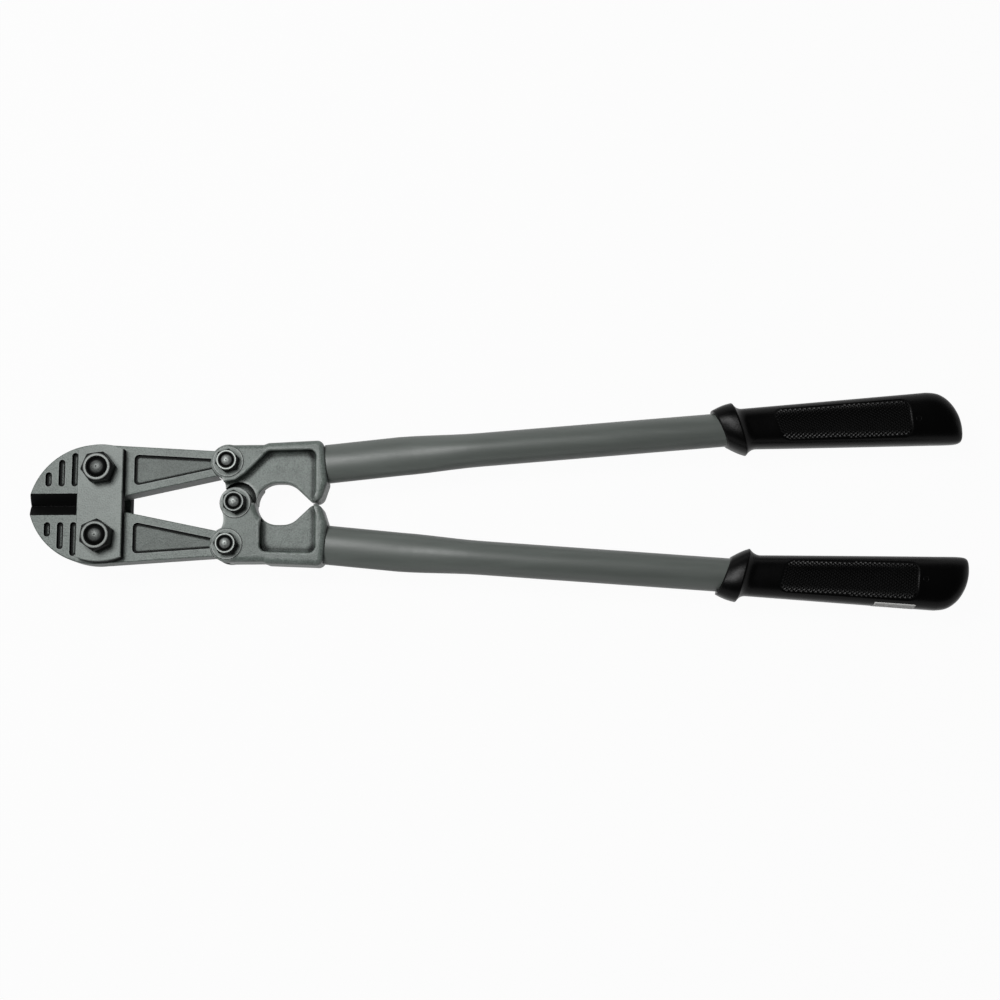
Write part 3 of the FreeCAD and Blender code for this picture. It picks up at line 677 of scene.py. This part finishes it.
# ------------------------------------------------------------------ CAD nodes' finishes
@dataclass
class Finishes:
    """Every finish of the tool, and which CAD node wears which. Sizes are in metres."""

    paint: Colour = (0.148, 0.177, 0.161)
    paint_dark: Colour = (0.073, 0.089, 0.080)
    tube: Colour = (0.112, 0.126, 0.116)
    strap_nut_rim: Pair = (6.8 * MM, 8.2 * MM)
    link_nut_rim: Pair = (5.4 * MM, 6.3 * MM)
    # Radii of the bolts' painted tip highlights.
    strap_bolt_core: float = 3.9 * MM
    link_bolt_core: float = 3.3 * MM
    # Colours of the nuts' rims, part painted highlight; the centre nut's, dimmer than on the same
    # link nuts, is painted shade.
    strap_shine: Colour = (0.041, 0.044, 0.042)
    link_shine: Colour = (0.078, 0.084, 0.080)
    centre_shine: Colour = (0.050, 0.054, 0.052)
    # Colours of the bolts' painted tip highlights.
    strap_tip_highlight: Colour = (0.115, 0.122, 0.118)
    link_tip_highlight: Colour = (0.30, 0.32, 0.31)
    bevel_half: float = 7.05 * MM
    bevel_run: float = 37.0 * MM
    pocket_rim: float = 0.6 * MM
    pivot_height: float = 0.0
    worn: List[str] = field(default_factory=list)

    def dress(self, node: str, material: bpy.types.Material) -> None:
        """Give a CAD node a material in all its slots.

        Args:
            node: the node's name.
            material: what it wears.
        """
        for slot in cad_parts[node].material_slots:
            slot.material = material
        self.worn.append(node)

    def middle(self, node: str) -> Tuple[Pair, float]:
        """The middle of a CAD node's box.

        Args:
            node: the node's name.

        Returns:
            Its place along X and Y, and its height.
        """
        low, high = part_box(node)
        centre = (low + high) / 2.0
        return (centre.x, centre.y), centre.z

    def dress_nut(self, node: str, rim: Pair, shine: Colour) -> None:
        """Give a nut its own turned-steel material about its own axis, its rim part painted
        highlight.
        """
        axis, _ = self.middle(node)
        self.dress(node, TurnedSteel(node + "_steel", axis, rim, shine=shine).make())

    def dress_bolt(self, node: str, core: float, tip_highlight: Colour) -> None:
        """Give a bolt its own steel, with a painted highlight on the tip about its own axis.

        Args:
            node: the node's name.
            core: radius of the painted highlight, in metres.
            tip_highlight: its colour.
        """
        axis, _ = self.middle(node)
        self.dress(node, PlainSteel(node + "_steel", axis, core, self.pivot_height,
                                    tip_highlight=tip_highlight).make())

    def build(self) -> None:
        """Dress all the CAD nodes that stay in view."""
        _, self.pivot_height = self.middle("upper_jaw")
        jaw_low, jaw_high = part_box("upper_jaw")
        # Painted shade: the jaws' pockets and corners darkened, the straps' walls black, the
        # irons' corners darkened deep; edges lightened as wear and painted highlight.
        sunk = (self.pivot_height, (jaw_high.z - jaw_low.z) / 2.0 - self.pocket_rim)
        cutting_line = 0.0
        bevel = (cutting_line, self.bevel_half, jaw_low.x + self.bevel_run)
        strap = CastPaint("strap_paint", self.paint, self.paint_dark, grain=1100.0,
                          grain_depth=0.00014, wave_depth=0.00016, edge_wear_and_highlight=1.0,
                          painted_shade_walls=True).make()
        jaw = CastPaint("jaw_paint", self.paint, self.paint_dark, bevel=bevel, sunk=sunk,
                        corner_reach=2.4 * MM, corner_range=(0.015, 0.10),
                        edge_wear_and_highlight=0.3).make()
        iron = CastPaint("iron_paint", self.paint, self.paint_dark, corner_reach=6.5 * MM,
                         corner_range=(0.08, 0.34), edge_reach=2.6 * MM).make()
        tube = TubePaint("tube_paint", self.tube).make()
        for node in ("front_strap", "rear_strap"):
            self.dress(node, strap)
        for side in Side:
            self.dress(side.word + "_jaw", jaw)
            self.dress(side.word + "_handle_iron", iron)
            self.dress(side.word + "_tube", tube)
            self.dress_bolt(side.word + "_strap_bolt", self.strap_bolt_core, self.strap_tip_highlight)
            self.dress_bolt(side.word + "_link_bolt", self.link_bolt_core, self.link_tip_highlight)
            self.dress_nut(side.word + "_strap_nut", self.strap_nut_rim, self.strap_shine)
            self.dress_nut(side.word + "_link_nut", self.link_nut_rim, self.link_shine)
        self.dress_bolt("centre_bolt", self.link_bolt_core, self.link_tip_highlight)
        self.dress("centre_washer", PlainSteel("washer_steel").make())
        self.dress_nut("centre_nut", self.link_nut_rim, self.centre_shine)
        LOG.info("dressed %d CAD nodes", len(self.worn))


# ------------------------------------------------------------------ grips
@dataclass(frozen=True)
class Station:
    """One slanting section of a grip, in millimetres from the centre pivot."""

    outer: Pair
    inner: Pair
    half_depth: float

    @property
    def middle(self) -> Pair:
        """The point halfway between its outer and inner points."""
        return tuple((a + b) / 2.0 for a, b in zip(self.outer, self.inner))

    @property
    def half_width(self) -> float:
        """Half the distance between its outer and inner points."""
        return math.dist(self.outer, self.inner) / 2.0

    def toward(self, other: "Station", share: float, extra: float = 0.0) -> "Station":
        """A section between this one and another.

        Args:
            other: the other section.
            share: 0 here, 1 at the other.
            extra: how much larger the section is than the straight blend, as a share of it.

        Returns:
            The section between.
        """
        def mix(first: float, second: float) -> float:
            """A number between two others."""
            return first + (second - first) * share

        outer = tuple(mix(a, b) for a, b in zip(self.outer, other.outer))
        inner = tuple(mix(a, b) for a, b in zip(self.inner, other.inner))
        grown = 1.0 + extra
        middle = tuple((a + b) / 2.0 for a, b in zip(outer, inner))
        outer = tuple(m + (a - m) * grown for m, a in zip(middle, outer))
        inner = tuple(m + (a - m) * grown for m, a in zip(middle, inner))
        return Station(outer, inner, mix(self.half_depth, other.half_depth) * grown)


@dataclass
class Grip:
    """One moulded grip: lip, crested collar, flared body with checkered panels, rounded end.

    Its sizes are in millimetres, from the centre pivot outwards.
    """

    side: Side
    pivot: Vector
    lip: Station = Station((307.6, 59.9), (317.9, 35.7), 11.9)
    crest: Station = Station((319.8, 64.7), (329.7, 30.6), 16.0)
    neck: Station = Station((327.0, 61.0), (337.0, 34.9), 13.0)
    middle: Station = Station((386.0, 65.9), (392.0, 35.6), 13.0)
    heel: Station = Station((447.0, 71.0), (450.0, 36.5), 13.0)
    shoulder: Station = Station((455.0, 69.9), (457.5, 36.6), 12.7)
    turn: Station = Station((461.6, 65.4), (463.5, 36.8), 11.5)
    fall: Station = Station((466.4, 58.6), (467.3, 37.3), 9.4)
    toe: Station = Station((469.0, 51.6), (469.3, 38.6), 6.4)
    tip: Station = Station((469.9, 46.6), (469.95, 42.0), 2.6)
    squareness: float = 2.5
    around: int = 176
    lip_steps: int = 12
    lip_bulge: float = 0.035
    collar_steps: int = 14
    collar_fall: float = 2.4
    body_steps: int = 204
    end_steps: int = 40
    end_lead: float = 0.94
    tube_radius: float = 11.1
    panel_start: float = 348.5
    panel_end: float = 435.5
    panel_share: float = 0.76
    panel_corner: float = 6.0
    panel_sink: float = 0.45
    panel_wall: float = 0.9
    diamond_long: float = 3.0
    diamond_wide: float = 1.9
    diamond_rise: float = 0.5
    diamond_top: float = 0.22
    diamond_root: float = 0.60
    diamond_rows: int = 14
    diamond_margin: float = 1.4
    mark_place: Pair = (439.6, -1.5)
    mark_radius: float = 1.9
    mark_rise: float = 0.22
    mark_root: float = 0.06
    mark_shares: Tuple[float, ...] = (1.0, 0.94, 0.72, 0.64)
    mark_steps: int = 28
    label_start: float = 410.0
    label_end: float = 435.5
    label_top: float = -0.55
    label_under: float = 0.95
    label_proud: float = 0.16
    label_under_skin: float = 0.10
    label_steps: Tuple[int, int] = (30, 16)

    def point(self, station: Station, angle: float, sink: float = 0.0) -> Vector:
        """A point on a section.

        Args:
            station: the section.
            angle: 0 at its outer point, a quarter turn on the nut side.
            sink: millimetres that the point lies under the surface, towards mid-thickness.

        Returns:
            The point in the frame, in metres.
        """
        reach = signed_power(math.cos(angle), 2.0 / self.squareness)
        rise = signed_power(math.sin(angle), 2.0 / self.squareness)
        middle_x, middle_y = station.middle
        x = middle_x + (station.outer[0] - middle_x) * reach
        y = middle_y + (station.outer[1] - middle_y) * reach
        z = station.half_depth * rise
        z -= math.copysign(1.0, z) * sink
        side = self.side.value
        return self.pivot + Vector((x, y * side, z * side)) * MM

    def sections(self) -> List[Station]:
        """The sections from the lip to the end, close together where the shape turns.

        Returns:
            The sections, in order.
        """
        run: List[Station] = []
        for step in range(self.lip_steps + 1):
            share = step / self.lip_steps
            bulge = self.lip_bulge * math.sin(math.pi * share)
            run.append(self.lip.toward(self.crest, share, bulge))
        for step in range(1, self.collar_steps + 1):
            share = step / self.collar_steps
            held = (1.0 - share) ** self.collar_fall
            place = self.crest.toward(self.neck, share)
            size = self.neck.toward(self.crest, held)
            half = tuple((a - b) / 2.0 for a, b in zip(size.outer, size.inner))
            outer = tuple(m + h for m, h in zip(place.middle, half))
            inner = tuple(m - h for m, h in zip(place.middle, half))
            run.append(Station(outer, inner, size.half_depth))
        for step in range(1, self.body_steps + 1):
            run.append(self.body_section(step / self.body_steps))
        for step in range(1, self.end_steps + 1):
            run.append(self.end_section(step / self.end_steps))
        return run

    def end_section(self, share: float) -> Station:
        """A section of the rounded end, which runs on one smooth curve.

        Args:
            share: 0 at the heel, 1 at the tip.

        Returns:
            The section.
        """
        knots = [self.body_section(self.end_lead), self.heel, self.shoulder, self.turn,
                 self.fall, self.toe, self.tip, self.tip]
        span = 4
        place = share * (len(knots) - span + 1)
        index = min(int(place), len(knots) - span)
        part = place - index
        near = knots[index:index + span]
        outer = tuple(between([knot.outer[axis] for knot in near], part) for axis in (0, 1))
        inner = tuple(between([knot.inner[axis] for knot in near], part) for axis in (0, 1))
        return Station(outer, inner, between([knot.half_depth for knot in near], part))

    def body_section(self, share: float) -> Station:
        """A section of the flared body.

        Args:
            share: 0 at the neck, 1 at the heel.

        Returns:
            The section.
        """
        bow = self.neck.toward(self.heel, 0.5)
        lift = tuple(m - b for m, b in zip(self.middle.outer, bow.outer))
        drop = tuple(m - b for m, b in zip(self.middle.inner, bow.inner))
        weight = 4.0 * share * (1.0 - share)
        plain = self.neck.toward(self.heel, share)
        outer = tuple(p + d * weight for p, d in zip(plain.outer, lift))
        inner = tuple(p + d * weight for p, d in zip(plain.inner, drop))
        return Station(outer, inner, plain.half_depth)

    def panel_inside(self, station: Station, reach: float) -> float:
        """How far inside the checkered panel a point of the broad face lies.

        Args:
            station: the section it is on.
            reach: its place across the section, -1 to 1.

        Returns:
            The depth inside the panel's outline in millimetres, under 0 outside it.
        """
        half_width = station.half_width
        along = abs(station.middle[0] - (self.panel_start + self.panel_end) / 2.0)
        along -= (self.panel_end - self.panel_start) / 2.0 - self.panel_corner
        across = abs(reach) * half_width - (half_width * self.panel_share - self.panel_corner)
        outside = math.hypot(max(along, 0.0), max(across, 0.0))
        return self.panel_corner - outside - min(max(along, across), 0.0)

    def shell(self) -> bpy.types.Object:
        """The grip's skin, closed over the end and turned in to the tube at the lip.

        Returns:
            The linked mesh.
        """
        points: List[Vector] = []
        rings: List[List[int]] = []
        shrunk = self.lip.toward(self.lip, 0.0, self.tube_radius / self.lip.half_width - 1.0)
        inner_lip = Station(shrunk.outer, shrunk.inner, self.tube_radius)
        for station in [inner_lip] + self.sections():
            ring = []
            for index in range(self.around):
                angle = 2.0 * math.pi * index / self.around
                reach = signed_power(math.cos(angle), 2.0 / self.squareness)
                inside = self.panel_inside(station, reach)
                sink = self.panel_sink * smooth_step(inside / self.panel_wall)
                ring.append(len(points))
                points.append(self.point(station, angle, sink))
            rings.append(ring)
        faces: List[List[int]] = []
        for low, high in zip(rings, rings[1:]):
            for index in range(self.around):
                after = (index + 1) % self.around
                faces.append([low[index], low[after], high[after], high[index]])
        faces.append(list(reversed(rings[0])))
        faces.append(list(rings[-1]))
        return mesh_object(self.side.word + "_grip_moulding", points, faces)

    def station_at(self, x: float) -> Station:
        """The body section whose middle is at a distance along the handle.

        Args:
            x: the distance, in millimetres.

        Returns:
            The section, found by halving.
        """
        low, high = 0.0, 1.0
        halvings = 30
        for _ in range(halvings):
            share = (low + high) / 2.0
            station = self.body_section(share)
            if station.middle[0] < x:
                low = share
            else:
                high = share
        return self.body_section((low + high) / 2.0)

    def on_face(self, x: float, across: float, face: int, sink: float) -> Vector:
        """A point of the broad face from its place along and across, sunk square to the face.

        Args:
            x: distance along the handle, in millimetres.
            across: distance from the grip's middle line, in millimetres.
            face: 1 for the nut side, -1 for the other.
            sink: depth under the face, in millimetres.

        Returns:
            The point in the frame, in metres.
        """
        station = self.station_at(x)
        limit = 0.999
        reach = min(max(across / station.half_width, -limit), limit)
        angle = math.acos(signed_power(reach, self.squareness / 2.0)) * face
        share = abs(reach)
        fall = share ** (self.squareness - 1.0)
        fall *= (1.0 - share ** self.squareness) ** (1.0 / self.squareness - 1.0)
        lean = math.hypot(1.0, fall * station.half_depth / station.half_width)
        return self.point(station, angle, sink * lean)

    def diamonds(self) -> bpy.types.Object:
        """Flat diamond tiles that lie under both panels, before they are thickened and raised.

        Returns:
            The linked mesh.
        """
        points: List[Vector] = []
        faces: List[List[int]] = []
        seen: Dict[Tuple[int, int, int], int] = {}
        half_long = self.diamond_long / 2.0
        half_wide = self.diamond_wide / 2.0
        columns = int((self.panel_end - self.panel_start) / half_long)
        rows = self.diamond_rows
        under = self.panel_sink + self.diamond_root

        def corner(column: int, row: int, face: int) -> int:
            """A corner shared by the tiles round it.

            Args:
                column: its place along, in half tiles.
                row: its place across, in half tiles.
                face: 1 for the nut side, -1 for the other.

            Returns:
                The corner's number among the points.
            """
            key = (column, row, face)
            if key not in seen:
                seen[key] = len(points)
                x = self.panel_start + column * half_long
                points.append(self.on_face(x, row * half_wide, face, under))
            return seen[key]

        for face in (1, -1):
            for column in range(1, columns):
                for row in range(-rows, rows + 1):
                    if (column + row) % 2:
                        continue
                    x = self.panel_start + column * half_long
                    station = self.station_at(x)
                    inside = self.panel_inside(station, row * half_wide / station.half_width)
                    if inside < self.diamond_margin:
                        continue
                    ring = [corner(column - 1, row, face), corner(column, row - 1, face),
                            corner(column + 1, row, face), corner(column, row + 1, face)]
                    faces.append(ring if face > 0 else list(reversed(ring)))
        return mesh_object(self.side.word + "_grip_checkering", points, faces, smooth=False)

    def mark(self) -> bpy.types.Object:
        """The small ring that the mould's pin leaves beside the panel's far end.

        Returns:
            The linked mesh.
        """
        points: List[Vector] = []
        faces: List[List[int]] = []
        sinks = (self.mark_root, -self.mark_rise, -self.mark_rise, self.mark_root)
        steps = self.mark_steps
        for index in range(steps):
            angle = 2.0 * math.pi * index / steps
            for share, sink in zip(self.mark_shares, sinks):
                x = self.mark_place[0] + self.mark_radius * share * math.cos(angle)
                across = self.mark_place[1] + self.mark_radius * share * math.sin(angle)
                points.append(self.on_face(x, across, self.side.value, sink))
        rows = len(self.mark_shares)
        for index in range(steps):
            after = (index + 1) % steps
            for row in range(rows):
                under = (row + 1) % rows
                ring = [index * rows + row, after * rows + row, after * rows + under,
                        index * rows + under]
                faces.append(ring if self.side is Side.UPPER else list(reversed(ring)))
        return mesh_object(self.side.word + "_grip_pin_mark", points, faces)

    def label(self) -> bpy.types.Object:
        """A bare paper label round the outer edge of the grip.

        Returns:
            The linked mesh.
        """
        points: List[Vector] = []
        faces: List[List[int]] = []
        long_steps, round_steps = self.label_steps
        for proud in (self.label_proud, -self.label_under_skin):
            for row in range(long_steps + 1):
                x = self.label_start + (self.label_end - self.label_start) * row / long_steps
                station = self.station_at(x)
                grown = station.toward(station, 0.0, proud / station.half_width)
                for column in range(round_steps + 1):
                    share = column / round_steps
                    angle = self.label_top + (self.label_under - self.label_top) * share
                    points.append(self.point(grown, angle))
        stride = round_steps + 1
        sheet = stride * (long_steps + 1)
        for row in range(long_steps):
            for column in range(round_steps):
                a = row * stride + column
                faces.append([a, a + 1, a + stride + 1, a + stride])
                b = a + sheet
                faces.append([b, b + stride, b + stride + 1, b + 1])
        rim = [row * stride for row in range(long_steps)]
        rim += [long_steps * stride + column for column in range(round_steps)]
        rim += [row * stride + round_steps for row in range(long_steps, 0, -1)]
        rim += [column for column in range(round_steps, 0, -1)]
        for first, second in zip(rim, rim[1:] + rim[:1]):
            faces.append([first, second, second + sheet, first + sheet])
        return mesh_object("grip_label", points, faces)

    def build(self, vinyl: bpy.types.Material, paper: bpy.types.Material) -> None:
        """Make this grip's pieces and fasten them to the frame.

        Args:
            vinyl: the grip's material.
            paper: the label's material.
        """
        shell = self.shell()
        shell.data.materials.append(vinyl)
        tiles = Checkering(self.diamond_root * MM, self.diamond_rise * MM,
                           self.diamond_top).raise_tiles(self.diamonds(), vinyl)
        mark = self.mark()
        mark.data.materials.append(vinyl)
        pieces = [shell, tiles, mark]
        for piece in pieces:
            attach(piece, self.side.handle)
        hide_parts(self.side.word + "_grip")
        if self.side is Side.LOWER:
            label = self.label()
            label.data.materials.append(paper)
            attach(label, self.side.handle)
            pieces.append(label)
        for piece in pieces:
            LOG.info("%s: %d faces", piece.name, len(piece.data.polygons))


@dataclass(frozen=True)
class Checkering:
    """A Geometry Nodes tree that thickens a sheet of tiles and raises each into a blunt point."""

    root: float
    rise: float
    top: float
    weld: float = 0.01 * MM

    def tree(self, material: bpy.types.Material) -> bpy.types.GeometryNodeTree:
        """Build the tree, with inputs for the sheet's thickness and the points' height and top.

        Args:
            material: what the points are made of.

        Returns:
            The tree.
        """
        tree = bpy.data.node_groups.new("checkering", "GeometryNodeTree")
        tree.interface.new_socket("Tiles", in_out="INPUT", socket_type="NodeSocketGeometry")
        for name in ("Root", "Rise", "Top"):
            tree.interface.new_socket(name, in_out="INPUT", socket_type="NodeSocketFloat")
        tree.interface.new_socket("Points", in_out="OUTPUT", socket_type="NodeSocketGeometry")
        start = tree.nodes.new("NodeGroupInput")
        end = tree.nodes.new("NodeGroupOutput")
        thicken = tree.nodes.new("GeometryNodeExtrudeMesh")
        thicken.inputs["Individual"].default_value = False
        lift = tree.nodes.new("GeometryNodeExtrudeMesh")
        lift.inputs["Individual"].default_value = True
        scale = tree.nodes.new("GeometryNodeScaleElements")
        back = tree.nodes.new("GeometryNodeFlipFaces")
        join = tree.nodes.new("GeometryNodeJoinGeometry")
        weld = tree.nodes.new("GeometryNodeMergeByDistance")
        weld.inputs["Distance"].default_value = self.weld
        realize = tree.nodes.new("GeometryNodeRealizeInstances")
        dress = tree.nodes.new("GeometryNodeSetMaterial")
        dress.inputs["Material"].default_value = material
        wires = (
            (start.outputs["Tiles"], thicken.inputs["Mesh"]),
            (start.outputs["Root"], thicken.inputs["Offset Scale"]),
            (thicken.outputs["Mesh"], lift.inputs["Mesh"]),
            (thicken.outputs["Top"], lift.inputs["Selection"]),
            (start.outputs["Rise"], lift.inputs["Offset Scale"]),
            (lift.outputs["Mesh"], scale.inputs["Geometry"]),
            (lift.outputs["Top"], scale.inputs["Selection"]),
            (start.outputs["Top"], scale.inputs["Scale"]),
            (start.outputs["Tiles"], back.inputs["Mesh"]),
            (scale.outputs["Geometry"], join.inputs["Geometry"]),
            (back.outputs["Mesh"], join.inputs["Geometry"]),
            (join.outputs["Geometry"], weld.inputs["Geometry"]),
            (weld.outputs["Geometry"], realize.inputs["Geometry"]),
            (realize.outputs["Geometry"], dress.inputs["Geometry"]),
            (dress.outputs["Geometry"], end.inputs["Points"]),
        )
        for source, target in wires:
            tree.links.new(source, target)
        return tree

    def raise_tiles(self, tiles: bpy.types.Object,
                    material: bpy.types.Material) -> bpy.types.Object:
        """Thicken and raise a sheet of tiles.

        Args:
            tiles: the flat tiles.
            material: what they are made of.

        Returns:
            The same object with the raised mesh.
        """
        modifier = tiles.modifiers.new("checkering", "NODES")
        modifier.node_group = self.tree(material)
        values = {"Root": self.root, "Rise": self.rise, "Top": self.top}
        for item in modifier.node_group.interface.items_tree:
            if item.name in values and item.in_out == "INPUT":
                modifier[item.identifier] = values[item.name]
        return applied(tiles)


# ------------------------------------------------------------------ studio
@dataclass
class Studio:
    """The pale floor, the soft lamp, the surround and the camera."""

    field_of_view: float = math.radians(36.0)
    sensor: float = 36.0
    distance: float = 0.997
    elevation: float = math.radians(82.0)
    roll: float = math.radians(-0.35)
    aim_along: float = 169.5 * MM
    aim_across: float = 2.3 * MM
    floor_size: float = 60.0
    floor_white: float = 0.965
    floor_grey: float = 0.34
    floor_roughness: float = 0.9
    ceiling: float = 0.072
    backdrop_top: Pair = (0.3, 0.5)
    key_place: Triple = (-0.44, 0.24, 1.05)
    key_aim: Triple = (-0.10, 0.0, 0.0)
    key_size: float = 0.42
    key_power: float = 11.6

    def build(self, pivot: Vector) -> None:
        """Make the floor, lamp, world and camera.

        Args:
            pivot: the centre pivot's place.
        """
        self.floor()
        self.key_lamp()
        self.world()
        self.camera(pivot)

    def floor(self) -> None:
        """A pale floor that seeing rays find nearly white, with only a trace of the shadow."""
        half = self.floor_size / 2.0
        corners = [Vector((x * half, y * half, 0.0)) for x, y in
                   ((-1, -1), (1, -1), (1, 1), (-1, 1))]
        floor = mesh_object("floor", corners, [[0, 1, 2, 3]], smooth=False)
        shader = Shader("floor_white")
        shader.finish(Base_Color=(self.floor_grey,) * 3, Roughness=self.floor_roughness)
        seen = seeing_rays(shader.tree)
        white = shader.node("ShaderNodeEmission", links={"Color": WHITE, "Strength": 1.0})
        shader.show(shader.node("ShaderNodeMixShader", links={
            0: seen * self.floor_white, 1: shader.surface, 2: white}))
        floor.data.materials.append(shader.material)

    def key_lamp(self) -> None:
        """The square soft lamp over the jaws."""
        data = bpy.data.lights.new("key", "AREA")
        data.shape = "SQUARE"
        data.size = self.key_size
        data.energy = self.key_power
        lamp = bpy.data.objects.new("key", data)
        place, aim = Vector(self.key_place), Vector(self.key_aim)
        lamp.location = place
        lamp.rotation_euler = (aim - place).to_track_quat("-Z", "Y").to_euler()
        bpy.context.scene.collection.objects.link(lamp)

    def world(self) -> None:
        """A dim even ceiling over a white backdrop, the backdrop for seeing rays only."""
        world = bpy.data.worlds.new("surround")
        world.use_nodes = True
        tree = world.node_tree
        dim = tree.nodes["Background"]
        for name, value in (("Color", WHITE), ("Strength", self.ceiling)):
            feed(tree, dim.inputs[name], value)
        bright = add_node(tree, "ShaderNodeBackground",
                          links={"Color": WHITE, "Strength": self.floor_white})
        seen = seeing_rays(tree)
        aim = add_node(tree, "ShaderNodeTexCoord", out="Generated")
        height = add_node(tree, "ShaderNodeSeparateXYZ", links={0: aim}, out="Z")
        low = 1.0 - height.smooth(*self.backdrop_top)
        mix = add_node(tree, "ShaderNodeMixShader",
                       links={0: seen * low, 1: Wire(tree, dim.outputs[0]), 2: bright})
        tree.links.new(mix.socket, tree.nodes["World Output"].inputs["Surface"])
        bpy.context.scene.world = world

    def camera(self, pivot: Vector) -> None:
        """The camera above the tool, a little towards the lower handle.

        Args:
            pivot: the centre pivot's place.
        """
        data = bpy.data.cameras.new("camera")
        data.sensor_width = self.sensor
        data.angle = self.field_of_view
        camera = bpy.data.objects.new("camera", data)
        target = pivot + Vector((self.aim_along, self.aim_across, 0.0))
        away = Vector((0.0, -math.cos(self.elevation), math.sin(self.elevation)))
        turn = (-away).to_track_quat("-Z", "Y").to_matrix().to_4x4()
        spin = Matrix.Rotation(self.roll, 4, "Z")
        camera.matrix_world = Matrix.Translation(target + away * self.distance) @ turn @ spin
        bpy.context.scene.collection.objects.link(camera)
        bpy.context.scene.camera = camera


def centre_pivot() -> Vector:
    """The centre pivot at mid-thickness, in the frame.

    Returns:
        Its place, in metres.
    """
    low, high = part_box("centre_nut")
    jaw_low, jaw_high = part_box("upper_jaw")
    return Vector(((low.x + high.x) / 2.0, (low.y + high.y) / 2.0,
                   (jaw_low.z + jaw_high.z) / 2.0))


def main() -> None:
    """Build every piece round the frame and report it."""
    logging.basicConfig(level=logging.INFO, format="%(name)s: %(message)s")
    bpy.context.scene.view_settings.view_transform = "Standard"
    Finishes().build()
    vinyl = MouldedBlack("grip_vinyl").make()
    paper = PaperWhite("label_paper").make()
    pivot = centre_pivot()
    for side in Side:
        Grip(side, pivot).build(vinyl, paper)
    Studio().build(pivot)


if __name__ == "__main__":
    main()
